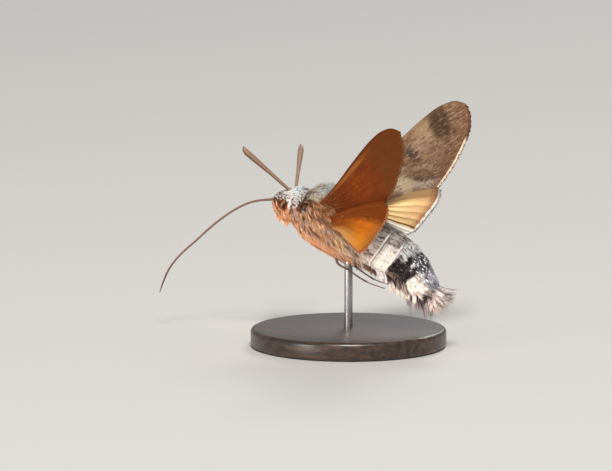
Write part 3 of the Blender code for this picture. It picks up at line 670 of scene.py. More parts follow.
def body_hair(name, s, angle, length, width, lift, curl, droop, random):
    """Hairs rooted in the body's skin at these places and turns."""
    out, tail = body_directions(s, angle)
    ringed = s > RINGED_FROM
    swing = SIDE_SWING * np.where(ringed, 0.5, 1.0) * random.uniform(-1.0, 1.0, len(s))
    sway = unit(np.cross(out, tail)) * swing[:, None]
    down = np.array((0.0, 0.0, -1.0)) * droop[:, None]
    uneven = 1.0 + LENGTH_SPREAD * random.uniform(-1.0, 1.0, len(s)) * np.where(ringed, 0.3, 1.0)
    tilt = np.radians(lift) * random.uniform(0.6, 1.4, len(s))
    marks = {
        "place": marked_place(s, angle), "strand": random.uniform(0.0, 1.0, len(s)),
        "reach": 0.85 * length * uneven,
    }
    return lock_mesh(
        name, body_surface(s, angle), square_to(tail + sway + down, out), out,
        length * uneven, width, tilt, np.radians(curl), marks, body_map(s, angle),
    )


def coat_part(name, low, high, seed):
    """The coat between two places along the body."""
    def column(index):
        return lambda s: np.interp(s, COAT_SECTIONS[:, 0], COAT_SECTIONS[:, index])

    def girth(s):
        shape = smooth_through(BODY_SECTIONS[:, 0], BODY_SECTIONS[:, 1:], s)
        return math.pi * (shape[:, 1] + shape[:, 2])

    random = np.random.default_rng(seed)
    s, angle = spread_places(low, high, column(1), girth, 0.137 * seed)
    in_eye = (
        ((s - EYE_PLACE[0]) / EYE_HALF[0]) ** 2
        + ((body_surface(s, angle)[:, 2] - EYE_PLACE[2]) / EYE_HALF[2]) ** 2
    )
    kept = (in_eye > 1.0) | (np.abs(np.cos(angle)) < 0.4)
    s, angle = s[kept], angle[kept]
    length, width, lift, curl, droop = (column(i)(s) for i in range(2, 7))
    rims = np.array([*SEGMENT_RIMS, 99.0])
    at = ring_place(s, angle)
    to_rim = rims[np.searchsorted(rims, at)] - at
    length = np.where(s > RINGED_FROM, np.minimum(length, np.maximum(to_rim + 0.06, 0.16)), length)
    return add_piece(name, body_hair(name, s, angle, length, width, lift, curl, droop, random), coat_scales)


coat_part("head_coat", -9.25, -4.6, 1)
coat_part("shoulder_coat", -4.6, 0.4, 2)
coat_part("chest_coat", 0.4, 6.6, 3)
coat_part("abdomen_coat", 6.6, 12.6, 4)
coat_part("rear_coat", 12.6, 19.3, 5)


# Long hair. Locks of longer hair lie over the coat from the neck and the chest down and back. They
# cross the gap behind the head, streak the sides, hang under the chin and curl behind each eye.

# Place s from and to, turn from and to in degrees, locks a side, length, hairs, droop, spread of its
# roots, lift, and colours picked in turn for root and tip.
HEAD_LOCKS = [
    (-8.6, -5.6, 16, 84, 34, 0.75, 16, 0.1, 0.10, 0.08,
     [((0.60, 0.57, 0.54), (0.92, 0.90, 0.87)), ((0.04, 0.030, 0.032), (0.17, 0.145, 0.14)),
      ((0.66, 0.69, 0.72), (0.88, 0.92, 0.96)), ((0.48, 0.44, 0.40), (0.84, 0.79, 0.74)),
      ((0.12, 0.095, 0.09), (0.42, 0.37, 0.35)), ((0.62, 0.60, 0.57), (0.90, 0.89, 0.87))]),
    (-5.5, -4.7, 42, 88, 10, 1.3, 24, 0.0, 0.20, 0.12,
     [((0.36, 0.34, 0.30), (0.66, 0.66, 0.64)), ((0.46, 0.45, 0.41), (0.70, 0.70, 0.68)),
      ((0.09, 0.07, 0.06), (0.34, 0.30, 0.27))]),
    (-4.9, -3.5, 16, 44, 20, 1.8, 24, 0.55, 0.18, 0.12,
     [((0.030, 0.014, 0.009), (0.09, 0.042, 0.023)), ((0.05, 0.025, 0.015), (0.18, 0.10, 0.062)),
      ((0.030, 0.014, 0.009), (0.10, 0.045, 0.025)), ((0.12, 0.055, 0.03), (0.34, 0.19, 0.11))]),
    (-5.1, -4.2, -24, 16, 16, 1.9, 22, 0.6, 0.16, 0.14,
     [((0.24, 0.13, 0.095), (0.50, 0.31, 0.25)), ((0.06, 0.026, 0.018), (0.22, 0.10, 0.065)),
      ((0.38, 0.19, 0.115), (0.66, 0.39, 0.255)), ((0.27, 0.20, 0.21), (0.48, 0.38, 0.38))]),
    (-5.2, -4.2, -78, -24, 16, 1.7, 22, 0.5, 0.16, 0.18,
     [((0.50, 0.23, 0.115), (0.76, 0.43, 0.26)), ((0.55, 0.27, 0.15), (0.75, 0.45, 0.29)),
      ((0.26, 0.10, 0.05), (0.60, 0.31, 0.185))]),
    (-8.7, -6.2, 12, 22, 16, 0.55, 12, 1.0, 0.08, 0.20,
     [((0.04, 0.025, 0.025), (0.10, 0.07, 0.07)), ((0.42, 0.39, 0.36), (0.80, 0.76, 0.73)),
      ((0.30, 0.27, 0.25), (0.70, 0.66, 0.62))]),
    (-5.98, -5.70, 2, 26, 6, 0.60, 18, 0.9, 0.08, 0.08,
     [((0.70, 0.66, 0.68), (0.94, 0.91, 0.94))]),
    # Cheek locks over the palps: peach partly the hair's own colour, partly painted warm bounce light.
    (-8.4, -6.0, -48, -20, 22, 0.85, 20, 0.8, 0.14, 0.16,
     [((0.54, 0.26, 0.14), (0.75, 0.42, 0.25)), ((0.42, 0.18, 0.09), (0.66, 0.34, 0.20)),
      ((0.58, 0.31, 0.18), (0.79, 0.48, 0.31))]),
]
CHEST_LOCKS = [
    (-3.8, -0.4, 50, 88, 18, 1.5, 18, 0.0, 0.22, 0.16,
     [((0.22, 0.20, 0.155), (0.50, 0.48, 0.41)), ((0.34, 0.33, 0.28), (0.64, 0.65, 0.62)),
      ((0.10, 0.08, 0.055), (0.32, 0.28, 0.22))]),
    (-3.0, -0.9, 40, 56, 12, 1.3, 24, 0.2, 0.20, 0.14,
     [((0.31, 0.225, 0.13), (0.64, 0.51, 0.33)), ((0.21, 0.18, 0.125), (0.52, 0.47, 0.37)),
      ((0.105, 0.06, 0.035), (0.34, 0.23, 0.14))]),
    (-2.6, 3.4, 18, 36, 28, 2.0, 22, 0.5, 0.18, 0.12,
     [((0.34, 0.20, 0.095), (0.60, 0.41, 0.225)), ((0.22, 0.085, 0.038), (0.42, 0.20, 0.10)),
      ((0.30, 0.145, 0.08), (0.54, 0.31, 0.19)), ((0.075, 0.032, 0.018), (0.24, 0.105, 0.055))]),
    (-3.6, 4.8, -30, 18, 60, 2.6, 18, 0.5, 0.14, 0.12,
     [((0.38, 0.19, 0.095), (0.62, 0.37, 0.225)), ((0.15, 0.056, 0.028), (0.36, 0.165, 0.09)),
      ((0.48, 0.27, 0.155), (0.72, 0.48, 0.32)), ((0.035, 0.015, 0.010), (0.12, 0.052, 0.030)),
      ((0.50, 0.35, 0.16), (0.78, 0.60, 0.33)), ((0.33, 0.235, 0.20), (0.54, 0.42, 0.385)),
      ((0.045, 0.027, 0.025), (0.16, 0.105, 0.095)), ((0.28, 0.21, 0.21), (0.48, 0.38, 0.37))]),
    (-3.6, 5.6, -66, -28, 50, 2.1, 18, 0.5, 0.14, 0.12,
     [((0.56, 0.28, 0.15), (0.86, 0.51, 0.32)), ((0.32, 0.125, 0.06), (0.66, 0.33, 0.19)),
      ((0.64, 0.38, 0.245), (0.88, 0.61, 0.44)), ((0.12, 0.046, 0.026), (0.34, 0.155, 0.09)),
      ((0.62, 0.38, 0.285), (0.86, 0.61, 0.50))]),
    # These two rows under the chest: peach partly the hair's own colour, partly painted warm bounce light.
    (-3.4, 5.6, -90, -66, 24, 1.5, 20, 0.2, 0.18, 0.14,
     [((0.86, 0.42, 0.21), (0.99, 0.60, 0.36)), ((0.62, 0.25, 0.12), (0.99, 0.55, 0.32))]),
    (-4.0, 6.0, -80, -52, 36, 1.30, 12, 0.5, 0.07, 0.50,
     [((0.90, 0.46, 0.25), (0.99, 0.64, 0.40)), ((0.70, 0.31, 0.16), (0.99, 0.58, 0.35))]),
    (4.6, 8.0, -52, 22, 30, 1.7, 18, 0.5, 0.14, 0.12,
     [((0.44, 0.28, 0.21), (0.84, 0.66, 0.57)), ((0.18, 0.09, 0.065), (0.52, 0.35, 0.28)),
      ((0.66, 0.54, 0.49), (0.94, 0.84, 0.78)), ((0.52, 0.34, 0.25), (0.84, 0.66, 0.55))]),
    (6.6, 9.6, -72, -34, 12, 1.2, 22, 0.4, 0.20, 0.12,
     [((0.10, 0.055, 0.035), (0.30, 0.18, 0.13)), ((0.30, 0.18, 0.13), (0.72, 0.54, 0.45))]),
    (-2.2, 0.2, 16, 44, 22, 2.3, 26, 0.15, 0.30, 0.16,
     [((0.22, 0.085, 0.036), (0.36, 0.155, 0.070)), ((0.12, 0.040, 0.016), (0.25, 0.092, 0.036)),
      ((0.34, 0.18, 0.085), (0.54, 0.32, 0.16)), ((0.24, 0.095, 0.045), (0.40, 0.18, 0.090))]),
    (0.8, 5.0, -14, 12, 20, 2.7, 24, 0.15, 0.30, 0.15,
     [((0.40, 0.23, 0.115), (0.68, 0.48, 0.28)), ((0.50, 0.34, 0.19), (0.80, 0.62, 0.41)),
      ((0.20, 0.10, 0.065), (0.44, 0.27, 0.18)), ((0.34, 0.25, 0.22), (0.58, 0.46, 0.41))]),
    # Dark locks along the painted shadow line under the cream shoulder hair: painted shade.
    (-2.7, -0.9, 22, 34, 12, 1.3, 14, 0.2, 0.16, 0.10,
     [((0.040, 0.018, 0.011), (0.12, 0.050, 0.027)), ((0.05, 0.022, 0.013), (0.20, 0.095, 0.05))]),
]
# The curl behind each eye: place s and height, how far it stands over the skin, and how far round a
# hair goes. Then its arcs as hairs, reach from and to, turn from and to, and root and tip colours.
SWIRL_PLACE = (-5.08, 0.36)
SWIRL_STANDS = 0.32
SWIRL_TURN = 0.9
SWIRL_ARCS = [
    (50, 0.02, 0.12, 0.0, 6.2, (0.07, 0.055, 0.055), (0.20, 0.17, 0.165)),
    (110, 0.15, 0.38, 3.2, 8.6, (0.36, 0.32, 0.31), (0.84, 0.80, 0.79)),
    (60, 0.40, 0.50, 0.8, 3.1, (0.025, 0.018, 0.018), (0.09, 0.06, 0.05)),
]
HAIR_WIDTH = 0.075
TIP_GATHER = 0.13
LOCK_SWING = 0.16
DOWN_IN_BODY = (-0.375, 0.0, -0.927)


def brush_material(name, slot, least, most):
    """Long scales that pass from their root colour to their tip colour, some darker than others."""
    made, tree, shader = new_material(name, slot, Roughness=0.70, Specular_IOR_Level=0.12)
    root, tip = (attribute(tree, tone, "Vector") for tone in ("root_tone", "tip_tone"))
    strand, along = (attribute(tree, value) for value in ("strand", "along"))
    colour = tint(rise(wandered(along, strand, 0.5), 0.25, 0.85), root, tip)
    feed(shader, "Base Color", toned(colour, remap(strand, least, most)))
    bump_into(shader, noise(object_place(tree), 9000.0, 2.0, 0.5), 0.15, 0.00003)
    return made


def toned_marks(tones, random):
    """Each hair's root and tip colour and its own shade."""
    shades = random.uniform(0.0, 1.0, len(tones))
    return {"root_tone": tones[:, 0], "tip_tone": tones[:, 1], "strand": shades}


def gathered_hair(name, locks, width, random, bow=0.22):
    """The hairs of these locks, bowed outward, each with its root and tip colour."""
    roots, tips, out, tones, root_map = (np.concatenate(values) for values in zip(*locks))
    count = len(roots)
    way = tips - roots
    length = np.linalg.norm(way, axis=1)
    lie = way / length[:, None]
    out = square_to(out + 0.35 * random.normal(0.0, 1.0, lie.shape), lie)
    bow = bow * random.uniform(0.4, 1.4, count)
    marks = toned_marks(tones, random)
    length = length * random.uniform(0.74, 1.08, count)
    width = width * random.uniform(0.8, 1.2, count)
    return lock_mesh(name, roots, lie, out, length, width, bow, 1.6 * bow, marks, root_map, rings=3)


def same_tones(tones, count):
    """One root and tip colour for each of a lock's hairs."""
    return np.broadcast_to(np.array(tones), (count, 2, 3))


def mirrored(turn, side):
    """A turn on the right side, or the same one on the left."""
    return turn if side > 0 else math.pi - turn


def skin_lock(s, turned, length, count, droop, spread, lift, tones, random, hug=1.0):
    """Roots, tips, outward ways, colours and map places of one lock that grows from the skin."""
    place, turned = np.array([s]), np.array([turned])
    centre = body_surface(place, turned)[0]
    out, tail = (way[0] for way in body_directions(place, turned))
    down = np.array(DOWN_IN_BODY) * droop
    down = down - out * (down @ out) * hug
    lie = unit(tail + down + out * lift + np.cross(out, tail) * LOCK_SWING * random.normal(0.0, 1.0))
    goal = centre + lie * length * random.uniform(0.7, 1.2)
    at_s = place + spread * random.normal(0.0, 0.6, count)
    at_turn = turned + spread * 0.30 * random.normal(0.0, 0.6, count)
    root = body_surface(at_s, at_turn)
    tip = goal + (root - centre) * 0.25 + TIP_GATHER * random.normal(0.0, 0.5, (count, 3))
    return root, tip, np.broadcast_to(out, root.shape), same_tones(tones, count), body_map(at_s, at_turn)


def long_hair(rows, seed):
    """Every lock of these rows, on both sides."""
    random = np.random.default_rng(seed)
    every = []
    for s_from, s_to, low, high, locks, length, count, droop, spread, lift, tones in rows:
        even = sequence(locks, 0.37 * low)
        for number in range(locks):
            for side in (-1, 1):
                s = s_from + (s_to - s_from) * even[number, 0]
                turned = mirrored(math.radians(low + (high - low) * even[number, 1]), side)
                pick = tones[(number + (side > 0)) % len(tones)]
                every.append(skin_lock(s, turned, length, count, droop, spread, lift, pick, random))
    return every


def eye_curls(seed):
    """The hooked curl behind each eye."""
    random = np.random.default_rng(seed)
    every = []
    for side in (-1, 1):
        at_s, at_turn = np.array([SWIRL_PLACE[0]]), mirrored(np.array([math.asin(SWIRL_PLACE[1])]), side)
        out, tail = (way[0] for way in body_directions(at_s, at_turn))
        over = np.cross(out, tail)
        centre = body_surface(at_s, at_turn)[0] + out * SWIRL_STANDS
        for count, near, far, begin, end, *tones in SWIRL_ARCS:
            turned = np.linspace(begin, end, count) * side
            reach = (np.linspace(near, far, count) + random.uniform(-0.05, 0.05, count))[:, None]
            start = centre + turned_way(turned, tail, over) * reach
            stop = centre + turned_way(turned + SWIRL_TURN * side, tail, over) * reach + out * 0.05
            outs = np.broadcast_to(out, (count, 3))
            spot = np.broadcast_to(body_map(at_s, at_turn), (count, 2))
            every.append((start, stop, outs, same_tones(tones, count), spot))
    return every


def hair_piece(name, locks, seed):
    """One piece of these locks."""
    mesh = gathered_hair(name, locks, HAIR_WIDTH, np.random.default_rng(seed))
    return add_piece(name, mesh, brush_scales)


brush_scales = brush_material("brush_scales", "scales_grey", 0.60, 1.15)
hair_piece("head_hair", long_hair(HEAD_LOCKS, 11) + eye_curls(12), 13)
hair_piece("chest_hair", long_hair(CHEST_LOCKS, 14), 15)


# Side tufts. Longer scales stand out low on each side of the abdomen in pointed locks: dark brown,
# then a white brush, black ones with pale tips, cream ones, and separate dark ones beside the tail.

WHITE_BRUSH = ((0.60, 0.56, 0.61), (0.90, 0.88, 0.92))
TUFT_LIFT = 0.28
# Place s, turn on the side in degrees, length, spread of its roots, hairs, droop, root and tip colour.
SIDE_LOCKS = [
    (8.7, -40, 1.4, 0.30, 60, 0.4, (0.10, 0.055, 0.035), (0.32, 0.19, 0.12)),
    (9.5, -38, 1.4, 0.30, 60, 0.5, (0.08, 0.045, 0.03), (0.24, 0.14, 0.09)),
    (10.2, -44, 1.5, 0.30, 60, 0.5, (0.06, 0.035, 0.025), (0.28, 0.18, 0.13)),
    (10.7, -30, 1.60, 0.20, 44, 0.35, *WHITE_BRUSH),
    (11.1, -36, 1.65, 0.18, 40, 0.35, *WHITE_BRUSH),
    (11.5, -30, 1.70, 0.20, 44, 0.35, *WHITE_BRUSH),
    (11.9, -36, 1.65, 0.18, 40, 0.35, *WHITE_BRUSH),
    (12.3, -30, 1.55, 0.20, 44, 0.35, *WHITE_BRUSH),
    (11.6, -50, 1.5, 0.30, 50, 0.3, (0.22, 0.14, 0.12), (0.50, 0.38, 0.33)),
    (12.8, -28, 1.8, 0.26, 60, 0.7, (0.03, 0.02, 0.025), (0.12, 0.09, 0.09)),
    (13.1, -36, 2.1, 0.20, 50, 0.7, (0.03, 0.02, 0.025), (0.98, 0.82, 0.78)),
    (13.5, -32, 2.1, 0.20, 50, 0.7, (0.03, 0.02, 0.025), (0.99, 0.84, 0.80)),
    (13.9, -40, 2.0, 0.20, 50, 0.7, (0.04, 0.03, 0.03), (0.98, 0.82, 0.76)),
    (14.3, -14, 1.9, 0.30, 60, 0.6, (0.03, 0.02, 0.025), (0.24, 0.19, 0.17)),
    (14.6, -36, 2.0, 0.24, 60, 0.7, (0.20, 0.15, 0.13), (0.98, 0.90, 0.84)),
    (15.1, -38, 2.0, 0.24, 60, 0.7, (0.40, 0.32, 0.29), (0.98, 0.92, 0.86)),
    (15.3, -16, 2.0, 0.28, 60, 0.6, (0.05, 0.04, 0.04), (0.50, 0.42, 0.38)),
    (15.7, -38, 2.0, 0.24, 60, 0.6, (0.26, 0.17, 0.13), (0.98, 0.90, 0.82)),
    (16.1, -20, 2.0, 0.26, 60, 0.6, (0.74, 0.64, 0.58), (0.99, 0.94, 0.90)),
    (16.6, -8, 1.9, 0.26, 60, 0.5, (0.84, 0.74, 0.68), (0.99, 0.95, 0.92)),
    (16.8, -30, 2.1, 0.24, 60, 0.6, (0.76, 0.66, 0.60), (0.99, 0.94, 0.90)),
    (17.3, -18, 2.0, 0.24, 60, 0.5, (0.60, 0.48, 0.42), (0.98, 0.92, 0.88)),
    (16.1, -52, 3.1, 0.06, 16, 1.2, (0.035, 0.022, 0.035), (0.30, 0.21, 0.225)),
    (16.5, -50, 3.2, 0.06, 16, 1.2, (0.035, 0.022, 0.035), (0.30, 0.21, 0.225)),
    (16.9, -52, 3.3, 0.06, 16, 1.2, (0.035, 0.022, 0.03), (0.30, 0.21, 0.225)),
    (17.3, -50, 3.4, 0.06, 16, 1.2, (0.04, 0.025, 0.03), (0.30, 0.21, 0.225)),
    (17.7, -48, 3.4, 0.06, 16, 1.1, (0.04, 0.025, 0.03), (0.30, 0.21, 0.225)),
    (18.1, -50, 3.3, 0.06, 16, 1.1, (0.04, 0.025, 0.03), (0.30, 0.21, 0.225)),
    (18.4, -44, 3.1, 0.06, 16, 1.0, (0.04, 0.025, 0.03), (0.30, 0.21, 0.225)),
]


def side_tufts(name, seed):
    random = np.random.default_rng(seed)
    every = []
    for s, degrees, length, spread, count, droop, *tones in SIDE_LOCKS:
        for side in (-1, 1):
            turned = mirrored(math.radians(degrees), side) + side * random.uniform(-0.06, 0.06)
            s_here = s + random.uniform(-0.1, 0.1)
            lock = skin_lock(s_here, turned, length, count, droop, spread, TUFT_LIFT, tones, random, 0.0)
            every.append(lock)
    add_piece(name, gathered_hair(name, every, HAIR_WIDTH, random), brush_scales)


side_tufts("side_tufts", 21)


# Tail fan. Tiers of long flat scales spread from the last segment like a brush and gather into
# pointed locks, grey and pinkish white with brown streaks. The uppermost are dark with white tips.

FAN_PLACE = np.array((18.75, 0.0, -2.50))
FAN_CORE = np.array((0.75, 1.35, 1.00))
FAN_SPREAD = math.radians(36.0)
# Slope in degrees, reach, locks, then the colours of a lock's root and tip, picked in turn.
FAN_TIERS = [
    (16.0, 3.0, 11, [((0.06, 0.045, 0.05), (0.99, 0.94, 0.93)), ((0.14, 0.11, 0.11), (0.70, 0.64, 0.62)),
                     ((0.30, 0.27, 0.28), (0.97, 0.92, 0.92))]),
    (3.0, 2.9, 12, [((0.62, 0.56, 0.55), (0.98, 0.90, 0.88)), ((0.16, 0.11, 0.09), (0.80, 0.68, 0.64)),
                    ((0.72, 0.66, 0.65), (0.99, 0.94, 0.92))]),
    (-11.0, 2.9, 12, [((0.74, 0.66, 0.62), (0.99, 0.92, 0.88)), ((0.18, 0.12, 0.09), (0.66, 0.54, 0.49)),
                      ((0.66, 0.58, 0.55), (0.98, 0.88, 0.85))]),
    (-26.0, 3.0, 12, [((0.40, 0.31, 0.27), (0.98, 0.88, 0.84)), ((0.66, 0.58, 0.54), (0.99, 0.92, 0.89)),
                      ((0.06, 0.04, 0.04), (0.58, 0.45, 0.42))]),
    (-42.0, 3.1, 11, [((0.04, 0.028, 0.03), (0.96, 0.82, 0.80)), ((0.44, 0.35, 0.32), (0.99, 0.90, 0.87))]),
]
LOCK_HAIRS = 50
FAN_HAIR_WIDTH = 0.09


def tail_fan(name, seed):
    random = np.random.default_rng(seed)
    every = []
    for tier, (slope, reach, locks, colours) in enumerate(FAN_TIERS):
        for number in range(locks):
            turn = 2 * (number + 0.5 * (tier % 2)) / (locks - 0.5) - 1
            yaw = FAN_SPREAD * turn + random.uniform(-0.05, 0.05)
            pitch = math.radians(slope + random.uniform(-5.0, 5.0))
            way = np.array((math.cos(pitch) * math.cos(yaw), math.sin(yaw), math.sin(pitch) * math.cos(yaw)))
            centre = FAN_PLACE + FAN_CORE * way * (0.6, 1.0, 1.0)
            goal = centre + way * reach * random.uniform(0.86, 1.02)
            root = centre + 0.30 * random.normal(0.0, 0.7, (LOCK_HAIRS, 3))
            root = root - way * random.uniform(0, 0.7, (LOCK_HAIRS, 1))
            tip = goal + (root - centre) * 0.16 + 0.05 * random.normal(0.0, 1.0, (LOCK_HAIRS, 3))
            out = np.broadcast_to((0.0, 0.0, 1.0 if slope > -15 else -1.0), root.shape)
            tones = same_tones(colours[(number * 2 + tier) % len(colours)], LOCK_HAIRS)
            spot = np.array((0.90 + 0.05 * (yaw / FAN_SPREAD + 1) / 2, 0.12 + 0.17 * tier))
            every.append((root, tip, out, tones, spot + 0.01 * random.uniform(-1.0, 1.0, (LOCK_HAIRS, 2))))
    mesh = gathered_hair(name, every, FAN_HAIR_WIDTH, random, 0.10)
    return add_piece(name, mesh, tail_scales, "tail_fan")


tail_scales = brush_material("tail_scales", "tail_scales", 0.66, 1.22)
tail_fan("tail_brush", 31)


# Eyes. Two smooth ovals of fine six-sided facets, warm brown under a clear glaze. Three dark patches
# stand in each, where the facets that face the viewer look black, and a thin pale line between
# them is a painted highlight.

FACET_MM = 0.075
EYE_DARK = (0.010, 0.005, 0.004, 1.0)
EYE_WARM = (0.20, 0.055, 0.010, 1.0)
EYE_DEEP = (0.11, 0.028, 0.006, 1.0)
# The colour of the painted highlight.
EYE_HIGHLIGHT = (0.44, 0.21, 0.075, 1.0)
# The dark patches: middle and half width towards the tail, and height from and to, in eye radii.
EYE_PATCHES = ((-0.66, 0.14, -0.30, 0.40), (-0.22, 0.12, -0.45, 0.60), (0.56, 0.20, -0.42, 0.80))
EYE_FILL = 0.985


def eye_material(side):
    made, tree, shader = new_material(
        f"eye_glaze_{side}", "eye_brown", Roughness=0.40, Specular_IOR_Level=0.2,
        Coat_Weight=0.05, Coat_Roughness=0.25,
    )
    place = attribute(tree, "eye", "Vector")
    tailward, height, _ = split(place)
    cells = {"Vector": place, "Scale": 1 / FACET_MM}
    cells = add_node("ShaderNodeTexVoronoi", cells, feature="F1").outputs["Distance"]
    wobble = noise(place, 2.6, 2.0, 0.5)
    shifted = plus(tailward, times(wobble, 0.25))
    # A painted highlight: a thin pale warm line between the dark patches.
    painted_highlight = times(spread_by(shifted, 0.13, 0.22, 0.06), rise(height, -0.3, 0.2), 0.75)
    colour = tint(painted_highlight, tint(rise(wobble, 0.35, 0.65), EYE_WARM, EYE_DEEP), EYE_HIGHLIGHT)
    for middle, width, low, high in EYE_PATCHES:
        patch = spread_by(shifted, middle - width, middle + width, 0.10)
        colour = tint(times(patch, spread_by(height, low, high, 0.18)), colour, EYE_DARK)
    grain = times(rise(cells, 0.25, 0.65), 0.45)
    feed(shader, "Base Color", tint(grain, colour, EYE_DARK))
    bump_into(shader, less(1.0, cells), 0.12, 0.00003)
    return made


def eye(side, name, rings=62, columns=96):
    """An oval whose pole looks out sideways."""
    tilt = np.linspace(0.0, math.pi, rings + 2)[1:-1]
    tilt, turned = point_grid(tilt, np.linspace(0.0, 2 * math.pi, columns, endpoint=False))
    shape = np.stack([np.sin(tilt) * np.cos(turned), np.cos(tilt), np.sin(tilt) * np.sin(turned)], 1)
    shape = np.concatenate([shape, [[0.0, 1.0, 0.0], [0.0, -1.0, 0.0]]]) * (1, side, 1)
    points = np.array(EYE_PLACE) * (1, side, 1) + shape * np.array(EYE_HALF) * EYE_FILL
    count = rings * columns
    poles = [fan_faces(count, 0, columns, True), fan_faces(count + 1, count - columns, columns)]
    quads, triangles = strip_faces(rings, columns), np.concatenate(poles)
    mesh = new_mesh(name, body_to_world(points), quads, triangles, {"eye": shape[:, [0, 2, 1]]})
    return add_piece(f"{name}_facets", mesh, eye_material(name[4:]), name)


eye(-1, "eye_left")
eye(1, "eye_right")


# Mouth parts. Two furred palps lie under the face and hold the tongue's root. The tongue is a long
# tube of two halves closed along its upper and lower sides, dark brown horn with fine rings.

TONGUE_PATH = np.array([
    (-8.30, 0.0, 2.60), (-9.38, 0.0, 2.14), (-10.90, 0.0, 1.93), (-12.94, 0.0, 1.45), (-15.86, 0.0, 0.04),
    (-18.12, 0.0, -1.48), (-20.22, 0.0, -3.16), (-22.17, 0.0, -4.86), (-23.78, 0.0, -6.19),
    (-25.40, 0.0, -7.75), (-26.75, 0.0, -9.55), (-27.70, 0.0, -11.60), (-28.15, 0.0, -12.80),
])
TONGUE_RADII = [(0.0, 0.24), (0.10, 0.19), (0.5, 0.165), (0.9, 0.15), (0.97, 0.11), (1.0, 0.05)]
TONGUE_RING_MM = 0.16
TONGUE_STEPS = 420
TONGUE_COLUMNS = 28
TONGUE_GROOVE = 0.16
PALP_STEPS = 60
PALP_COLUMNS = 32
PALP_PATH = np.array([
    (-5.30, 0.90, -2.60), (-6.60, 0.76, -2.68), (-7.75, 0.66, -2.42), (-8.50, 0.54, -2.00),
    (-8.90, 0.46, -1.65),
])
PALP_RADII = [(0.0, 0.36), (0.35, 0.50), (0.70, 0.42), (0.90, 0.27), (1.0, 0.12)]
CHIN_LOCKS = 20
CHIN_HAIRS = 13
CHIN_REACH = 1.05
# The chin fringe's peach: partly the hair's own colour, partly painted warm bounce light.
CHIN_TONES = [((0.56, 0.27, 0.14), (0.82, 0.46, 0.27)), ((0.62, 0.33, 0.18), (0.85, 0.52, 0.33))]
CHIN_HAIR_WIDTH = 0.07
PALP_HAIRS = 1500
PALP_HAIR_LENGTH = 0.34
PALP_HAIR_WIDTH = 0.085
# Where the palps' colours are read on the body's markings, whose peach there is partly painted warm
# bounce light: place s, height and its swing round them.
PALP_MARKS = (-9.0, -0.8, 0.3)
PALP_STRAND = 0.4


def along_path(points, shares):
    """Smooth places at these shares of a path's length, and the length."""
    knots = np.concatenate([[0.0], np.cumsum(np.linalg.norm(np.diff(points, axis=0), axis=1))])
    return smooth_through(knots / knots[-1], points, shares), knots[-1]


def radii_at(table, shares):
    """Radii at these shares of a path, between those of the table."""
    return np.interp(shares, *zip(*table))


def tube(points, shares, radii, columns, shape=1.0, up=(0.0, 0.0, 1.0)):
    """Points and faces of a closed tube along points, and each point's share of it and height round it."""
    ahead = unit(np.gradient(points, axis=0))
    across = unit(np.cross(ahead, np.asarray(up, float)))
    over = np.cross(across, ahead)
    turned = np.linspace(0.0, 2 * math.pi, columns, endpoint=False)
    wide = (radii[:, None] * shape * np.ones(columns))[..., None]
    rings = points[:, None] + wide * (np.cos(turned)[None, :, None] * across[:, None]
                                      + np.sin(turned)[None, :, None] * over[:, None])
    count = len(points) * columns
    ends = [fan_faces(count, 0, columns), fan_faces(count + 1, count - columns, columns, True)]
    quads = strip_faces(len(points), columns)[:, ::-1]
    points = np.concatenate([rings.reshape(-1, 3), points[:1], points[-1:]])
    place = np.concatenate([np.repeat(shares, columns), shares[[0, -1]]])
    height = np.concatenate([np.tile(np.sin(turned), len(shares)), [0.0, 0.0]])
    return points, quads, np.concatenate(ends), place, height


def from_thorax(places):
    """Millimetre places from the thorax centre, along the world's axes, as world points in metres."""
    return (np.asarray(places) + THORAX_CENTRE) * MM


def horn_mesh(name, to_world, *tubes):
    """Tubes as one mesh that knows each point's distance along its tube and height round it."""
    shift, gathered = 0, []
    for (points, quads, triangles, share, height), length in tubes:
        gathered.append((points, quads + shift, triangles + shift, share * length, height))
        shift += len(points)
    points, quads, triangles, along, height = (np.concatenate(values) for values in zip(*gathered))
    values = {"tube": np.stack([along, height, 0 * along], 1)}
    return new_mesh(name, to_world(points), quads, triangles, values)


def horn_material(name, slot, dark, light, rings, ring_depth, **plain):
    """Horn along a tube, ringed across and darker below."""
    made, tree, shader = new_material(name, slot, **plain)
    tube_place = attribute(tree, "tube", "Vector")
    along, height, _ = split(tube_place)
    ridge = rise(maths("SINE", times(along, 2 * math.pi / rings)), -0.2, 0.9)
    patchy = noise(tube_place, 2.2, 3.0, 0.6)
    tone = wandered(times(rise(height, -1.0, 0.1), 0.8), patchy, 0.9)
    colour = tint(rise(tone, 0.0, 0.9), (*dark, 1.0), (*light, 1.0))
    feed(shader, "Base Color", painted(colour, (ridge, dark, 0.45)))
    feed(shader, "Roughness", remap(patchy, 0.36, 0.58))
    bump_into(shader, less(1.0, ridge), 0.6, ring_depth)
    return made


def hair_round(path, radii, share, turned, back=0.0, sunk=1.0):
    """Roots on a tube at shares of its path and turns round it, and the ways along it and out."""
    centre, ahead, behind = (
        along_path(path, np.clip(share + step, 0.0, 1.0))[0] for step in (0.0, 0.01, -back)
    )
    lie = unit(ahead - behind)
    across = unit(np.cross(lie, np.array((0.0, 0.0, 1.0))))
    out = turned_way(turned, across, np.cross(across, lie))
    return centre + out * (radii_at(radii, share) * sunk)[:, None], lie, out


def tongue():
    shares = np.linspace(0.0, 1.0, TONGUE_STEPS)
    points, length = along_path(TONGUE_PATH, shares)
    turned = np.linspace(0.0, 2 * math.pi, TONGUE_COLUMNS, endpoint=False)
    two_halves = 1.0 - TONGUE_GROOVE * np.abs(np.sin(turned)) ** 6
    made = tube(points, shares, radii_at(TONGUE_RADII, shares), TONGUE_COLUMNS, two_halves)
    horn = horn_material(
        "tongue_horn", "tongue_brown", (0.020, 0.010, 0.008), (0.17, 0.085, 0.055), TONGUE_RING_MM, 0.00002,
    )
    mesh = horn_mesh("tongue", from_thorax, (made, length))
    add_piece("tongue", mesh, horn, "proboscis_base", "proboscis_middle", "proboscis_tip")


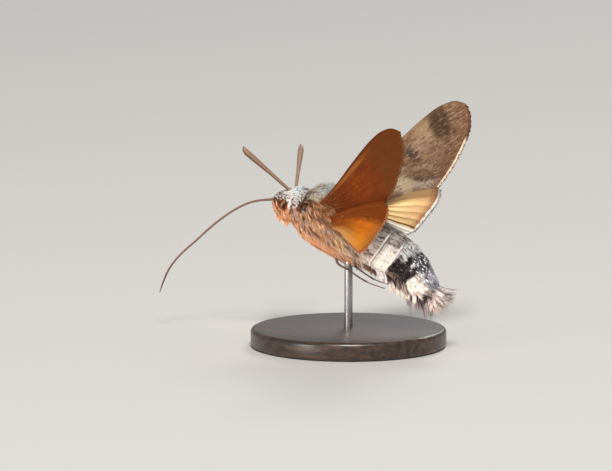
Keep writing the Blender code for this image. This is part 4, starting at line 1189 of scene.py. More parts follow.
def palp(side, name, seed):
    random = np.random.default_rng(seed)
    path = PALP_PATH * (1, side, 1)
    s, low, swing = PALP_MARKS
    shares = np.linspace(0.0, 1.0, PALP_STEPS)
    points, _ = along_path(path, shares)
    made = tube(points, shares, radii_at(PALP_RADII, shares), PALP_COLUMNS)
    points, quads, triangles, share, height = made
    place = np.stack([s + 0 * share, low + swing * height, np.full(len(share), float(side))], 1)
    plain = np.full(len(place), PALP_STRAND)
    values = {"place": place, "strand": plain, "along": plain}
    mesh = new_mesh(name, body_to_world(points), quads, triangles, values)
    add_piece(f"{name}_skin", mesh, coat_scales, name)
    even = sequence(PALP_HAIRS, 0.31 * seed)
    share, turned = even[:, 0] ** 0.9, even[:, 1] * 2 * math.pi
    place = np.stack([s + 0 * share, low + swing * np.sin(turned), np.cos(turned)], 1)
    hair = lock_mesh(
        f"{name}_coat", *hair_round(path, PALP_RADII, share, turned, back=0.01),
        PALP_HAIR_LENGTH * random.uniform(0.7, 1.3, PALP_HAIRS), PALP_HAIR_WIDTH,
        np.radians(random.uniform(10, 26, PALP_HAIRS)), 0.25,
        {"place": place, "strand": random.uniform(0, 1, PALP_HAIRS)}, in_map(even),
    )
    add_piece(f"{name}_coat", hair, coat_scales)


def chin_fringe(name, seed):
    """Pointed locks that hang from the palps and the throat."""
    random = np.random.default_rng(seed)
    every = []
    for side in (-1, 1):
        for share in np.linspace(0.02, 0.62, CHIN_LOCKS):
            centre = along_path(PALP_PATH * (1, side, 1), np.array([share]))[0][0]
            outward = unit(np.array((0.0, side * random.uniform(0.0, 0.9), -1.0)))
            foot = centre + outward * radii_at(PALP_RADII, share) * 0.8
            way = unit(np.array((0.25, side * 0.15, -1.0)) + 0.12 * random.normal(0.0, 1.0, 3))
            root = foot + 0.06 * random.normal(0.0, 1.0, (CHIN_HAIRS, 3)) * (1.6, 1.0, 0.6)
            tip = foot + way * CHIN_REACH * (1.0 - share) ** 0.4 * random.uniform(0.45, 1.1)
            tip = tip + 0.03 * random.normal(0.0, 1.0, (CHIN_HAIRS, 3))
            out = np.broadcast_to((0.0, float(side), 0.0), root.shape)
            tones = same_tones(CHIN_TONES[random.integers(0, len(CHIN_TONES))], CHIN_HAIRS)
            spot = np.full((CHIN_HAIRS, 2), (0.3 + 0.5 * share, 0.5 + 0.2 * side))
            every.append((root, tip, out, tones, spot))
    add_piece(name, gathered_hair(name, every, CHIN_HAIR_WIDTH, random), brush_scales)


tongue()
palp(-1, "palp_left", 41)
palp(1, "palp_right", 42)
chin_fringe("chin_fringe", 43)


# Feelers. Slender clubs, thickest near the end and drawn out into a small hook. They are ringed all
# the way, covered in flat tan scales above and darker bare horn below.

ANTENNA_ROOT = np.array((-5.90, 0.60, 3.45))
ANTENNA_TIPS = {-1: np.array((-9.40, -9.00, 10.45)), 1: np.array((-9.80, 9.70, 8.85))}
ANTENNA_ARCH = 0.05
ANTENNA_HOOK = np.array((0.05, -0.35, 0.30))
ANTENNA_HOOK_FROM = 0.88
ANTENNA_RADII = [
    (0.0, 0.22), (0.40, 0.27), (0.75, 0.41), (0.90, 0.43), (0.96, 0.31), (0.985, 0.16), (1.0, 0.04),
]
ANTENNA_RING_MM = 0.24
ANTENNA_STEPS = 520
ANTENNA_COLUMNS = 28


def antenna_line(side, shares):
    """The feeler's middle line, arched a little and hooked at its end, and its length."""
    root = ANTENNA_ROOT * (1, side, 1)
    span = ANTENNA_TIPS[side] - root
    arch = ANTENNA_ARCH * np.outer(np.sin(math.pi * shares), (0.25, 0.0, 1.0))
    curl = np.clip((shares - ANTENNA_HOOK_FROM) / (1 - ANTENNA_HOOK_FROM), 0.0, 1.0) ** 2
    hook = np.outer(curl, ANTENNA_HOOK * (1, side, 1))
    return root + np.outer(shares, span) + arch + hook, np.linalg.norm(span)


def antenna(side, name, material):
    shares = np.linspace(0.0, 1.0, ANTENNA_STEPS)
    points, length = antenna_line(side, shares)
    ring = np.mod(shares * length / ANTENNA_RING_MM, 1.0)
    radii = radii_at(ANTENNA_RADII, shares) * (1.0 - 0.05 * np.abs(2 * ring - 1.0) ** 3)
    made = tube(points, shares, radii, ANTENNA_COLUMNS, up=(0.3, 0.0, 1.0))
    add_piece(f"{name}_scales", horn_mesh(name, from_thorax, (made, length)), material, name)


feeler_horn = horn_material(
    "feeler_scales", "feeler_tan", (0.070, 0.036, 0.024), (0.27, 0.175, 0.120), ANTENNA_RING_MM, 0.00004,
    Specular_IOR_Level=0.15,
)
antenna(-1, "antenna_left", feeler_horn)
antenna(1, "antenna_right", feeler_horn)


# Legs. Thin horn limbs folded back under the body, jointed at the knee and the ankle, with a pair of
# spurs on each shin and a coat of tan scales over the thigh and shin.

LEG_PATHS = {
    "leg_fore": [(-3.0, 1.10, -3.1), (-2.6, 1.20, -3.85), (-1.4, 1.15, -4.30), (0.6, 1.05, -4.55),
                 (2.4, 1.00, -4.70)],
    "leg_mid": [(-0.4, 1.90, -3.4), (0.2, 2.20, -3.90), (2.0, 2.25, -4.15), (4.2, 2.15, -4.25),
                (6.0, 2.10, -4.35)],
    "leg_hind": [(3.4, 1.35, -3.8), (4.0, 1.40, -4.90), (6.0, 1.30, -5.20), (9.4, 1.25, -5.50),
                 (12.4, 1.45, -5.05)],
}
LEG_RADII = [
    (0.0, 0.17), (0.08, 0.17), (0.27, 0.12), (0.30, 0.15), (0.33, 0.105), (0.60, 0.095),
    (0.63, 0.125), (0.66, 0.08), (0.93, 0.065), (0.96, 0.08), (1.0, 0.03),
]
LEG_STEPS = 160
LEG_COLUMNS = 20
SPUR_LENGTH = 0.60
SPUR_STEPS = 14
SPUR_COLUMNS = 10
SPUR_DROP = 0.12
LEG_RING_MM = 0.5
LEG_HAIRS = 500
LEG_HAIR_LENGTH = 0.26
LEG_HAIR_WIDTH = 0.05
# Where the legs' coat is read on the body's markings: place s of each pair, and height. Under the
# chest that is a peach partly painted warm bounce light.
LEG_MARKS = {"leg_fore": -1.0, "leg_mid": -1.0, "leg_hind": 7.6}
LEG_HEIGHT = -0.95


def leg(kind, side, material, seed):
    """One leg's horn and its two spurs as a piece, and what its coat's hairs need."""
    random = np.random.default_rng(seed)
    path = np.array(LEG_PATHS[kind]) * (1, side, 1)
    shares = np.linspace(0.0, 1.0, LEG_STEPS)
    points, length = along_path(path, shares)
    tubes = [(tube(points, shares, radii_at(LEG_RADII, shares), LEG_COLUMNS), length)]
    for at, lean in ((0.61, 0.5), (0.62, -0.5)):
        spot, _ = along_path(path, np.array([at, at + 0.02]))
        ahead = unit(spot[1] - spot[0])
        aside = unit(np.cross(ahead, np.array((0.0, 0.0, 1.0))))
        steps = np.linspace(0.0, 1.0, SPUR_STEPS)
        spur = spot[0] + ahead * (SPUR_LENGTH * steps)[:, None] + aside * (lean * 0.5 * steps)[:, None]
        spur[:, 2] -= SPUR_DROP * steps
        tubes.append((tube(spur, steps, 0.05 * (1 - steps) + 0.01, SPUR_COLUMNS), SPUR_LENGTH))
    name = f"{kind}_{'left' if side < 0 else 'right'}"
    add_piece(f"{name}_horn", horn_mesh(name, body_to_world, *tubes), material, name)
    even = sequence(LEG_HAIRS, 0.17 * seed)
    share, turned = even[:, 0] * 0.66, even[:, 1] * 2 * math.pi
    place = np.stack([LEG_MARKS[kind] + 0 * share, LEG_HEIGHT + 0 * share, np.cos(turned)], 1)
    length = LEG_HAIR_LENGTH * random.uniform(0.6, 1.3, LEG_HAIRS)
    lift = np.radians(random.uniform(8, 26, LEG_HAIRS))
    return (*hair_round(path, LEG_RADII, share, turned, sunk=0.9), length, lift, place, in_map(even))


leg_horn = horn_material(
    "leg_horn", "leg_tan", (0.030, 0.014, 0.009), (0.15, 0.075, 0.045), LEG_RING_MM, 0.00002,
    Specular_IOR_Level=0.25,
)
leg_hairs = []
for number, (kind, side) in enumerate((kind, side) for kind in LEG_PATHS for side in (-1, 1)):
    leg_hairs.append(leg(kind, side, leg_horn, 50 + number))
roots, lie, out, length, lift, place, root_map = (np.concatenate(values) for values in zip(*leg_hairs))
marks = {"place": place, "strand": np.random.default_rng(60).uniform(0.2, 0.9, len(place))}
leg_coats = lock_mesh("leg_coats", roots, lie, out, length, LEG_HAIR_WIDTH, lift, 0.25, marks, root_map)
add_piece("leg_coats", leg_coats, coat_scales)


# Wings. Two pairs of stiff membranes held flat by raised veins and covered in rows of tiny scales,
# with a fringe of hair scales along the outer and hind edges. Their roots sit in the chest.

WING_ROLL = math.radians(4.0)
WING_CAMBER = 0.45
WING_BEND = 0.3
WING_THICKNESS = 0.16
WING_RIM = 0.04
VEIN_RISE = 0.055
VEIN_WIDTH = 0.085
PLEAT = 0.025
WING_ROWS = 150
WING_COLUMNS = 110
FOREWING = {
    "root": (-0.74, 3.20, 2.48),
    "tips": {-1: (10.90, 9.40, 20.20), 1: (10.86, 8.90, 21.15)},
    "corner": (11.62, 6.13, 9.81),
    "costa": [(-0.09, 0.0), (0.08, -0.015), (0.25, -0.038), (0.42, -0.068), (0.58, -0.094), (0.74, -0.113),
              (0.87, -0.111), (0.955, -0.082), (1.0, -0.03)],
    "termen": [(1.0, -0.03), (0.99, 0.03), (0.935, 0.117), (0.845, 0.180), (0.72, 0.245), (0.56, 0.305)],
    "dorsum": [(-0.09, 0.085), (0.06, 0.115), (0.22, 0.185), (0.40, 0.235), (0.56, 0.305)],
    "veins": [(0.045, 0.0), (0.15, 0.40), (0.28, 0.44), (0.41, 0.44), (0.54, 0.44), (0.67, 0.36),
              (0.79, 0.0), (0.93, 0.0)],
    "cell": (0.44, 0.04, 0.80),
    "tuck": -0.1,
    "pulled": {-1: 0.080, 1: 0.0},
    "fringe": 0.52,
    "fringed": 1.0,
    "bright_from": 0.34,
}
HINDWING = {
    "root": (1.80, 4.40, 1.90),
    "tips": {-1: (11.11, 7.22, 9.07), 1: (11.11, 7.22, 9.07)},
    "corner": (8.88, 7.10, 0.30),
    "costa": [(-0.17, 0.0), (0.10, -0.02), (0.40, -0.05), (0.72, -0.055), (0.93, -0.03), (1.0, 0.03)],
    "termen": [(1.0, 0.03), (0.98, 0.10), (0.90, 0.205), (0.75, 0.315), (0.61, 0.415), (0.52, 0.465),
               (0.43, 0.475)],
    "dorsum": [(-0.17, 0.12), (0.0, 0.14), (0.15, 0.20), (0.29, 0.345), (0.43, 0.475)],
    "veins": [(0.06, 0.0), (0.22, 0.42), (0.38, 0.42), (0.53, 0.38), (0.67, 0.0), (0.80, 0.0), (0.93, 0.0)],
    "cell": (0.43, 0.05, 0.68),
    "tuck": 1.5,
    "pulled": {-1: 0.0, 1: 0.0},
    "fringe": 0.58,
    "fringed": 0.9,
    "bright_from": -0.2,
}
ROOT_HAIRS = 1800
ROOT_REACH = 0.34
ROOT_OFFSET = 0.06
ROOT_HAIR_WIDTH = 0.06
# Root and tip colours of the hair on a wing's root, picked in turn: above, then below.
FOREWING_ROOT = [
    [((0.22, 0.20, 0.15), (0.46, 0.43, 0.36)), ((0.10, 0.075, 0.055), (0.26, 0.20, 0.15)),
     ((0.26, 0.20, 0.13), (0.50, 0.41, 0.30))],
    [((0.20, 0.075, 0.030), (0.26, 0.105, 0.045)), ((0.14, 0.042, 0.013), (0.20, 0.062, 0.020)),
     ((0.11, 0.028, 0.006), (0.16, 0.042, 0.008)), ((0.09, 0.022, 0.005), (0.13, 0.034, 0.007))],
]
HINDWING_ROOT = [
    [((0.50, 0.34, 0.18), (0.86, 0.64, 0.36)), ((0.34, 0.26, 0.18), (0.66, 0.54, 0.38)),
     ((0.20, 0.15, 0.11), (0.44, 0.36, 0.27))],
    [((0.24, 0.105, 0.042), (0.36, 0.175, 0.075)), ((0.17, 0.052, 0.013), (0.26, 0.090, 0.022)),
     ((0.30, 0.165, 0.085), (0.44, 0.27, 0.15)), ((0.12, 0.032, 0.007), (0.19, 0.055, 0.011))],
]
FRINGE_HAIRS = 2000
FRINGE_WIDTH = 0.13
FRINGE_OFFSET = 0.055
FRINGE_ABOVE = 0.42
FRINGE_WAVES = (260.0, 71.0)


def wing_axes(wing, side):
    """Root, span, chord and underside directions of a wing in body places, and its length."""
    def placed(place):
        s, y, n = place[0], place[1] * side, place[2]
        c, d = math.cos(WING_ROLL), math.sin(WING_ROLL)
        return np.array((s, y * c - n * d, n * c + y * d))

    root = placed(wing["root"])
    span = placed(wing["tips"][side]) - root
    length = np.linalg.norm(span)
    span /= length
    chord = placed(wing["corner"]) - root
    chord = unit(chord - span * (chord @ span))
    return root, span, chord, np.cross(span, chord) * side, length


def wing_plan(wing, p, q):
    """(along, across) in wing lengths at p along the wing and q across it, inside its outline."""
    costa, termen, dorsum = (np.array(wing[edge]) for edge in ("costa", "termen", "dorsum"))
    front, hind = along_path(costa, p)[0], along_path(dorsum, p)[0]
    outer = along_path(termen, q)[0]
    p, q = p[..., None], q[..., None]
    inner = costa[0] * (1 - q) + dorsum[0] * q
    corners = (1 - p) * inner + p * ((1 - q) * costa[-1] + q * dorsum[-1])
    return (1 - q) * front + q * hind + (1 - p) * inner + p * outer - corners


def wing_middle(wing, side, p, q):
    """Body places on a wing's middle sheet, with their plan places."""
    root, span, chord, under, length = wing_axes(wing, side)
    plan = wing_plan(wing, p, q)
    along, across = plan[..., 0], plan[..., 1]
    camber = WING_CAMBER * np.sin(math.pi * q) * np.sin(math.pi * p)
    height = camber - WING_BEND * np.maximum(along, 0.0) ** 2
    tucked = np.maximum(0.0, 1.0 - (along - wing["costa"][0][0]) / 0.35)
    veins = np.array([0.0, *(place for place, _ in wing["veins"]), 1.0])
    phase = 2 * math.pi * np.interp(q, veins, np.arange(len(veins)))
    pleats = PLEAT * np.cos(phase) * np.clip(p * 2, 0, 1) * np.sin(math.pi * q) ** 0.5
    height = height + wing["tuck"] * tucked ** 2 + pleats
    pull = wing["pulled"][side] * np.sqrt(q) * p ** 3
    along, across = along - pull, across - 0.55 * pull
    places = root + span * (along * length)[..., None] + chord * (across * length)[..., None]
    return places - under * height[..., None], plan


def vein_mask(wing, side, p, q):
    """1 on a vein, 0 between, by the distance across it."""
    length = wing_axes(wing, side)[4]
    hind, front = wing_plan(wing, p, np.ones_like(q)), wing_plan(wing, p, np.zeros_like(q))
    chord = np.linalg.norm(hind - front, axis=-1)
    mask = np.zeros_like(p)
    for place, start in wing["veins"]:
        near = np.exp(-(((q - place) * chord * length) / VEIN_WIDTH) ** 2)
        mask = np.maximum(mask, near * np.clip((p - start) * 30 + 1, 0, 1))
    row, low, high = wing["cell"]
    across = np.exp(-(((p - row) * length) / VEIN_WIDTH) ** 2) * (q > low) * (q < high)
    return np.maximum(mask, across) * (1.0 - 0.45 * p)


def wing_mesh(name, wing, side):
    """Both faces of the membrane with their veins, joined round a thin rim."""
    under = wing_axes(wing, side)[3]
    p, q = point_grid(np.linspace(0, 1, WING_ROWS), np.linspace(0, 1, WING_COLUMNS))
    middle, plan = wing_middle(wing, side, p, q)
    veins = vein_mask(wing, side, p, q)
    inner = np.clip(np.minimum(np.minimum(q, 1 - q) * 14, (1 - p) * 18), 0, 1)
    half = 0.5 * (WING_RIM + (WING_THICKNESS - WING_RIM) * inner) + VEIN_RISE * veins * inner
    points = np.concatenate([middle - under * half[:, None], middle + under * half[:, None]])
    count = WING_ROWS * WING_COLUMNS
    sheet = strip_faces(WING_ROWS, WING_COLUMNS, closed=False)
    row = np.arange(WING_ROWS - 1) * WING_COLUMNS
    column = np.arange(WING_COLUMNS - 1)
    edges = (
        (column + 1, column), (row, row + WING_COLUMNS),
        (row + 2 * WING_COLUMNS - 1, row + WING_COLUMNS - 1),
        (count - WING_COLUMNS + column, count - WING_COLUMNS + column + 1),
    )
    rims = [np.stack([first, second, second + count, first + count], 1) for first, second in edges]
    shape = np.stack([plan[:, 0], plan[:, 1], np.ones(count)], 1)
    values = {
        "wing": np.concatenate([shape, shape * (1, 1, -1)]),
        "share": np.tile(np.stack([p, q, veins], 1), (2, 1)),
    }
    faces = np.concatenate([sheet, sheet[:, ::-1] + count, *rims])
    return new_mesh(name, body_to_world(points), faces, (), values)


def grain_group():
    """Rows of scales over a wing: a height for them, fine flecks, and soft cloudy variation."""
    outputs = dict.fromkeys(("Rows", "Flecks", "Mottle", "Clouds"), "Float")
    tree, entry, leave = new_group("wing_grain", {"Plan": "Vector"}, outputs)
    plan = entry.outputs["Plan"]
    scales = {"Vector": stretch(plan, (120.0, 240.0, 9.0)), "Scale": 1.0}
    values = (
        add_node("ShaderNodeTexVoronoi", scales, feature="F1").outputs["Distance"],
        noise(stretch(plan, (70.0, 210.0, 5.0)), 1.0, 3.0, 0.65),
        noise(stretch(plan, (24.0, 74.0, 4.0)), 1.0, 3.0, 0.65),
        noise(stretch(plan, (9.0, 17.0, 3.0)), 1.0, 4.0, 0.6),
    )
    for name, value in zip(outputs, values):
        tree.links.new(value, leave.inputs[name])
    return tree


def spot(along, across, centre, reach):
    """A soft oval mask round a plan place."""
    u = maths("DIVIDE", less(along, centre[0]), reach[0])
    v = maths("DIVIDE", less(across, centre[1]), reach[1])
    return rise(maths("SQRT", plus(times(u, u), times(v, v))), 1.25, 0.45)


def line(value, middle, width):
    """A soft line where a value passes the middle."""
    return rise(maths("ABSOLUTE", less(value, middle)), width, width * 0.35)


def wing_material(name, slot, grain, upper, lower):
    """Scales on both faces of a wing: upper and lower each give a colour from the plan and the grain."""
    made, tree, shader = new_material(name, slot, Roughness=0.70, Specular_IOR_Level=0.08)
    plan, share = (attribute(tree, value, "Vector") for value in ("wing", "share"))
    along, across, face = split(plan)
    p, q, veins = split(share)
    texture = add_node("ShaderNodeGroup", tree=tree, node_tree=grain)
    tree.links.new(plan, texture.inputs["Plan"])
    rows, flecks, mottle, clouds = texture.outputs
    place = {"along": along, "across": across, "p": p, "q": q, "veins": veins}
    place.update(flecks=flecks, mottle=mottle, clouds=clouds)
    feed(shader, "Base Color", tint(rise(face, -0.2, 0.2), lower(**place), upper(**place)))
    bump_into(shader, plus(rows, times(flecks, 0.6)), 0.14, 0.00005)
    return made


def forewing_upper(along, across, p, veins, flecks, mottle, clouds, **_):
    """Grey-brown with an olive patch, a dark blotch, dark smudges and broken dark bands, all mottled."""
    level = wandered(wandered(less(across, times(along, 0.63)), clouds, 0.09), mottle, 0.045)
    out = wandered(wandered(along, clouds, 0.14), mottle, 0.05)
    broken = rise(mottle, 0.40, 0.56)
    blotch = spot(out, across, (0.795, -0.02), (0.075, 0.125))
    return painted(
        (0.1302, 0.0722, 0.0445, 1.0),
        (rise(clouds, 0.44, 0.62), (0.189, 0.1193, 0.0798), 0.85),
        (rise(out, 0.70, 0.86), (0.1428, 0.084, 0.0487), 0.9),
        (spot(out, across, (0.69, -0.04), (0.09, 0.075)), (0.2394, 0.1638, 0.0907), 0.85),
        (spot(out, across, (0.60, 0.02), (0.07, 0.07)), (0.2184, 0.1512, 0.105), 0.6),
        (blotch, (0.0378, 0.0168, 0.0084), 0.85),
        (spot(out, across, (0.535, 0.045), (0.035, 0.070)), (0.0252, 0.0134, 0.0118), 0.85),
        (times(spread_by(level, -0.26, -0.15, 0.03), broken), (0.0798, 0.0353, 0.0218), 0.5),
        (line(level, -0.195, 0.020), (0.2856, 0.2016, 0.1386), 0.35),
        (times(line(level, -0.125, 0.024), broken), (0.021, 0.0134, 0.0118), 0.8),
        (line(level, -0.075, 0.042), (0.3192, 0.2604, 0.2184), 0.80),
        (spot(out, across, (0.38, 0.17), (0.07, 0.08)), (0.42, 0.3276, 0.2268), 0.85),
        (rise(p, 0.86, 0.97), (0.1176, 0.0521, 0.0269), 0.7),
        (rise(along, 0.32, 0.10), (0.126, 0.0966, 0.0756), 0.7),
        (rise(mottle, 0.53, 0.62), (0.2940, 0.2140, 0.1500), 0.50),
        (rise(mottle, 0.45, 0.37), (0.0420, 0.0230, 0.0140), 0.62),
        (rise(flecks, 0.57, 0.68), (0.3280, 0.2400, 0.1640), 0.50),
        (rise(flecks, 0.46, 0.37), (0.0400, 0.0220, 0.0140), 0.55),
        (blotch, (0.0378, 0.0168, 0.0084), 0.45),
        (veins, (0.084, 0.0487, 0.0302), 0.35),
    )


def forewing_lower(along, q, veins, flecks, mottle, clouds, **_):
    """Rusty brown, smoky outside, with a tan band along the front edge and orange streaks at the root."""
    # The orange and rust here are partly the scales' own colour, partly a painted glow of light shining
    # through the wing.
    out = wandered(along, clouds, 0.16)
    inner = times(rise(out, 0.62, 0.34), spread_by(q, 0.22, 0.62, 0.10))
    return painted(
        (0.0903, 0.01789, 0.00185, 1.0),
        (rise(clouds, 0.40, 0.66), (0.1264, 0.0268, 0.002442), 0.85),
        (rise(out, 0.50, 0.72), (0.08093, 0.02428, 0.00407), 0.85),
        (inner, (0.1047, 0.02108, 0.001628), 0.7),
        (times(inner, rise(mottle, 0.50, 0.62)), (0.24, 0.062, 0.0050), 0.40),
        (times(spread_by(q, 0.045, 0.115, 0.025), rise(out, 0.72, 0.46)), (0.195, 0.07342, 0.01739), 0.85),
        (times(rise(q, 0.055, 0.030), rise(out, 0.95, 0.60)), (0.05418, 0.01403, 0.00296), 0.8),
        (times(rise(along, 0.20, 0.05), rise(q, 0.50, 0.25)), (0.15, 0.055, 0.016), 0.5),
        (times(line(q, 0.42, 0.030), rise(along, 0.32, 0.20)), (0.02528, 0.007644, 0.00222), 0.8),
        (rise(mottle, 0.46, 0.34), (0.05779, 0.01403, 0.00222), 0.35),
        (rise(flecks, 0.46, 0.34), (0.03973, 0.008904, 0.00148), 0.45),
        (rise(less(along, times(mottle, 0.5)), 0.12, -0.14), (0.045, 0.0085, 0.0010), 0.60),
        (veins, (0.1517, 0.03956, 0.00407), 0.30),
    )


def hindwing_upper(along, p, q, veins, flecks, clouds, **_):
    """Golden yellow, deeper orange outward, with fine dark veins, a brown edge and a white hind fold."""
    return painted(
        (1.0, 0.66, 0.27, 1.0),
        (rise(wandered(p, clouds, 0.15), 0.60, 0.94), (0.62, 0.26, 0.075), 0.9),
        (rise(flecks, 0.46, 0.58), (1.0, 0.86, 0.56), 0.85),
        (rise(flecks, 0.44, 0.34), (0.72, 0.33, 0.09), 0.7),
        (veins, (0.50, 0.20, 0.05), 0.6),
        (rise(wandered(p, clouds, 0.08), 0.90, 0.99), (0.36, 0.15, 0.07), 0.85),
        (rise(q, 0.84, 0.87), (1.0, 0.95, 0.86), 0.97),
        (line(q, 0.815, 0.022), (0.16, 0.06, 0.02), 0.85),
        (line(q, 0.93, 0.010), (0.62, 0.40, 0.22), 0.6),
        (rise(along, 0.18, -0.05), (0.20, 0.12, 0.08), 0.8),
    )


def hindwing_lower(along, p, q, veins, flecks, clouds, **_):
    """Bright orange with a rusty front part, golden towards the hind fold and brown at the edge."""
    # The bright orange here is partly the scales' own colour, partly a painted glow of light shining through
    # the wing.
    base = times(rise(wandered(along, clouds, 0.15), 0.56, 0.14), 0.85)
    deep = tint(rise(q, 0.62, 0.95), (0.085, 0.0185, 0.0024, 1.0), (0.29, 0.155, 0.062, 1.0))
    colour = painted(
        (0.2755, 0.07224, 0.002914, 1.0),
        (rise(clouds, 0.45, 0.68), (0.3306, 0.09632, 0.00372), 0.7),
        (rise(wandered(q, clouds, 0.12), 0.56, 0.80), (0.3444, 0.1307, 0.005828), 0.85),
        (rise(wandered(p, clouds, 0.14), 0.82, 1.0), (0.1722, 0.0633, 0.01296), 0.85),
        (rise(wandered(q, clouds, 0.16), 0.44, 0.26), (0.07921, 0.01582, 0.001054), 0.97),
    )
    return painted(
        tint(base, colour, deep),
        (rise(flecks, 0.56, 0.66), (0.3995, 0.1376, 0.00682), 0.30),
        (rise(flecks, 0.44, 0.34), (0.124, 0.03096, 0.002046), 0.35),
        (veins, (0.1584, 0.04128, 0.002728), 0.35),
    )


def fringe_material(name, slot, root, tip, under_tip):
    """Root and tip colours above, and a darker tip below that is painted shade."""
    made, tree, shader = new_material(name, slot, Roughness=0.70, Specular_IOR_Level=0.10)
    face, along, strand = (attribute(tree, value) for value in ("face", "along", "strand"))
    above = rise(face, 0.1, 0.9)
    # Below, the tip colour and a root at 0.6 of it are painted shade.
    start = tint(above, tuple(0.6 * value for value in under_tip) + (1.0,), (*root, 1.0))
    end = tint(above, (*under_tip, 1.0), (*tip, 1.0))
    colour = tint(rise(wandered(along, strand, 0.4), 0.0, 0.25), start, end)
    feed(shader, "Base Color", tint(times(rise(strand, 0.40, 0.10), 0.75), colour, start))
    return made


def fringe(name, wing, side, material, seed):
    """Short hair scales along the outer edge and the outer half of the hind edge."""
    random = np.random.default_rng(seed)
    share = random.uniform(0.0, 1.0, FRINGE_HAIRS)
    outer = share < wing["fringed"]
    p = np.where(outer, 1.0, 0.72 + 0.28 * (1.0 - share) / (1.001 - wing["fringed"]))
    q = np.where(outer, 0.03 + 0.97 * share / wing["fringed"], 1.0)
    edge, _ = wing_middle(wing, side, p, q)
    inside, _ = wing_middle(wing, side, np.where(outer, 0.985, p), np.where(outer, q, 0.975))
    _, span, _, under, _ = wing_axes(wing, side)
    lie = unit(unit(edge - inside) + 0.25 * random.normal(0.0, 1.0, (FRINGE_HAIRS, 1)) * span)
    face = np.where(random.uniform(0.0, 1.0, FRINGE_HAIRS) < FRINGE_ABOVE, 1.0, -1.0)
    out = square_to(-under * face[:, None] + 0.2 * random.normal(0.0, 1.0, lie.shape), lie)
    waves = np.sin(FRINGE_WAVES[0] * share + 3.0 * np.sin(FRINGE_WAVES[1] * share))
    ragged = random.uniform(0.5, 1.1, FRINGE_HAIRS) * (0.82 + 0.18 * waves)
    length = wing["fringe"] * ragged * np.where(outer, 1.0, 0.75) * np.where(face > 0, 0.92, 1.08)
    roots = inside - under * (FRINGE_OFFSET * face)[:, None]
    bright = np.clip((q - wing["bright_from"]) / 0.12, 0.0, 1.0)
    marks = {"face": face * bright, "strand": random.uniform(0.0, 1.0, FRINGE_HAIRS)}
    root_map = np.stack([in_map(share), 0.5 + 0 * share], 1)
    mesh = lock_mesh(name, roots, lie, out, length, FRINGE_WIDTH, 0.02, 0.05, marks, root_map, sides=0.25)
    add_piece(name, mesh, material)


def root_hair(name, wing, side, tones, seed):
    """Hair scales that lie out from the body over a wing's root, on both of its faces."""
    random = np.random.default_rng(seed)
    p = 0.01 + ROOT_REACH * random.uniform(0.0, 1.0, ROOT_HAIRS) ** 2.2
    q = random.uniform(0.05, 0.95, ROOT_HAIRS)
    face = np.where(np.arange(ROOT_HAIRS) % 2 == 0, 1.0, -1.0)
    place, _ = wing_middle(wing, side, p, q)
    further, _ = wing_middle(wing, side, p + 0.03, q)
    _, _, chord, under, _ = wing_axes(wing, side)
    out = -under * face[:, None]
    lie = square_to(unit(further - place) + 0.10 * random.normal(0.0, 1.0, (ROOT_HAIRS, 1)) * chord, out)
    above, below = (np.array(pairs)[random.integers(0, len(pairs), ROOT_HAIRS)] for pairs in tones)
    tones = np.where(face[:, None, None] > 0, above, below)
    marks = toned_marks(tones, random)
    length = random.uniform(0.6, 1.2, ROOT_HAIRS) * (1.0 - 2.0 * p)
    lift = np.radians(random.uniform(2, 7, ROOT_HAIRS))
    root_map = np.stack([0.02 + 2.0 * p, in_map(q)], 1)
    roots = place + out * ROOT_OFFSET
    mesh = lock_mesh(name, roots, lie, out, length, ROOT_HAIR_WIDTH, lift, 0.1, marks, root_map)
    add_piece(name, mesh, brush_scales)


wing_grain = grain_group()
wings = {
    "forewing": (
        FOREWING, FOREWING_ROOT,
        wing_material("forewing_scales", "wing_brown", wing_grain, forewing_upper, forewing_lower),
        fringe_material(
            "forewing_fringe", "wing_brown", (0.42, 0.19, 0.09), (0.98, 0.78, 0.58), (0.13, 0.055, 0.025),
        ),
    ),
    "hindwing": (
        HINDWING, HINDWING_ROOT,
        wing_material("hindwing_scales", "wing_orange", wing_grain, hindwing_upper, hindwing_lower),
        fringe_material(
            "hindwing_fringe", "wing_orange", (0.90, 0.78, 0.66), (0.99, 0.97, 0.93), (0.26, 0.085, 0.03),
        ),
    ),
}
for side, label in ((-1, "left"), (1, "right")):
    for kind, (wing, tones, scales, hair) in wings.items():
        name = f"{kind}_{label}"
        add_piece(f"{name}_scales", wing_mesh(name, wing, side), scales, name)
        fringe(f"{name}_fringe", wing, side, hair, 70 + len(name) + side)
        root_hair(f"{name}_root_hair", wing, side, tones, 80 + len(name) + side)


# Studio. A pale matt floor under soft light from the upper left, seen from the moth's left side
# with a long lens.

CAMERA_AZIMUTH = math.radians(28.0)
CAMERA_ELEVATION = math.radians(8.0)
CAMERA_DISTANCE = 0.6
SENSOR_MM = 36.0
PIXELS_PER_MM = 7
FRAME_WIDTH = 612 / PIXELS_PER_MM * MM
AIM_OFFSET = (-24 / PIXELS_PER_MM * MM, -17.5 / PIXELS_PER_MM * MM)
FLOOR_PROFILE = [(0, -0.004), (3, -0.004), (3, -0.0001), (0, -0.0001)]
FLOOR_COLOUR = (0.46, 0.455, 0.445, 1.0)
FLOOR_DARKER = (0.43, 0.425, 0.415, 1.0)
SKY_COLOUR = (0.93, 0.96, 1.0, 1.0)
SKY_STRENGTH = 0.36
# Place, power, size and colour.
LIGHTS = {
    "key_light": ((0.75, -1.30, 1.45), 57.0, 0.45, (1.0, 0.96, 0.89)),
    "fill_light": ((-0.60, -1.45, 0.12), 14.0, 0.40, (1.0, 0.91, 0.82)),
    "bounce_light": ((-0.004, -0.007, 0.0045), 0.015, 0.05, (1.0, 0.80, 0.62)),
    "rim_light": ((-0.30, 1.60, 1.30), 16.0, 0.70, (1.0, 0.97, 0.94)),
}


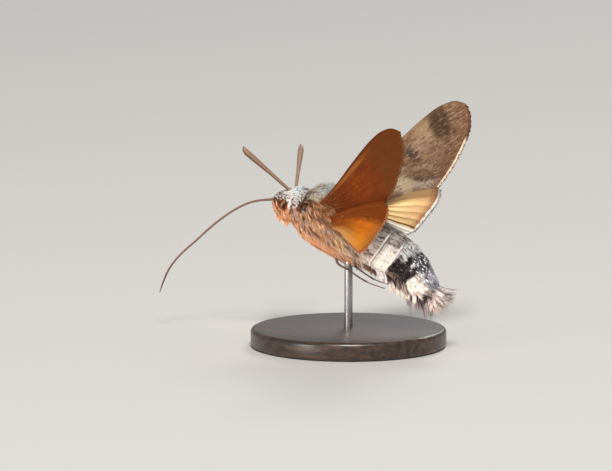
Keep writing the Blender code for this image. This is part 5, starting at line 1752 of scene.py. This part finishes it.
def floor_material():
    made, tree, shader = new_material("floor_paper", Roughness=0.85)
    fibre = times(noise(object_place(tree), 900.0, 3.0, 0.6), 0.3)
    feed(shader, "Base Color", tint(fibre, FLOOR_COLOUR, FLOOR_DARKER))
    return made


def soft_light(name, place, power, size, colour):
    """A square area light that faces the moth."""
    lamp = bpy.data.lights.new(name, "AREA")
    lamp.energy, lamp.size, lamp.color = power, size, colour
    holder = bpy.data.objects.new(name, lamp)
    bpy.context.scene.collection.objects.link(holder)
    towards = Vector(THORAX_CENTRE * MM) - Vector(place)
    holder.matrix_world = Matrix.Translation(place) @ towards.to_track_quat("-Z", "Y").to_matrix().to_4x4()
    return holder


floor = bpy.data.objects.new("floor", turned_mesh("floor", FLOOR_PROFILE, 96))
floor.data.materials.append(floor_material())
bpy.context.scene.collection.objects.link(floor)
lamps = {name: soft_light(name, *values) for name, values in LIGHTS.items()}
lamps["bounce_light"].visible_camera = lamps["bounce_light"].visible_glossy = False
world = bpy.data.worlds.new("studio")
world.use_nodes = True
background = world.node_tree.nodes["Background"]
background.inputs["Color"].default_value = SKY_COLOUR
background.inputs["Strength"].default_value = SKY_STRENGTH
bpy.context.scene.world = world
bpy.context.scene.view_settings.view_transform = "Standard"

ca, sa = math.cos(CAMERA_AZIMUTH), math.sin(CAMERA_AZIMUTH)
ce, se = math.cos(CAMERA_ELEVATION), math.sin(CAMERA_ELEVATION)
right = np.array((ca, sa, 0.0))
up = np.array((-sa * se, ca * se, ce))
back = np.array((sa * ce, -ca * ce, se))
target = THORAX_CENTRE * MM + right * AIM_OFFSET[0] + up * AIM_OFFSET[1]
lens = bpy.data.cameras.new("camera")
lens.sensor_width = SENSOR_MM
lens.lens = SENSOR_MM * CAMERA_DISTANCE / FRAME_WIDTH
lens.clip_start = 0.05
camera = bpy.data.objects.new("camera", lens)
bpy.context.scene.collection.objects.link(camera)
axes = Matrix((right, up, back)).transposed().to_4x4()
camera.matrix_world = Matrix.Translation(target + back * CAMERA_DISTANCE) @ axes
bpy.context.scene.camera = camera
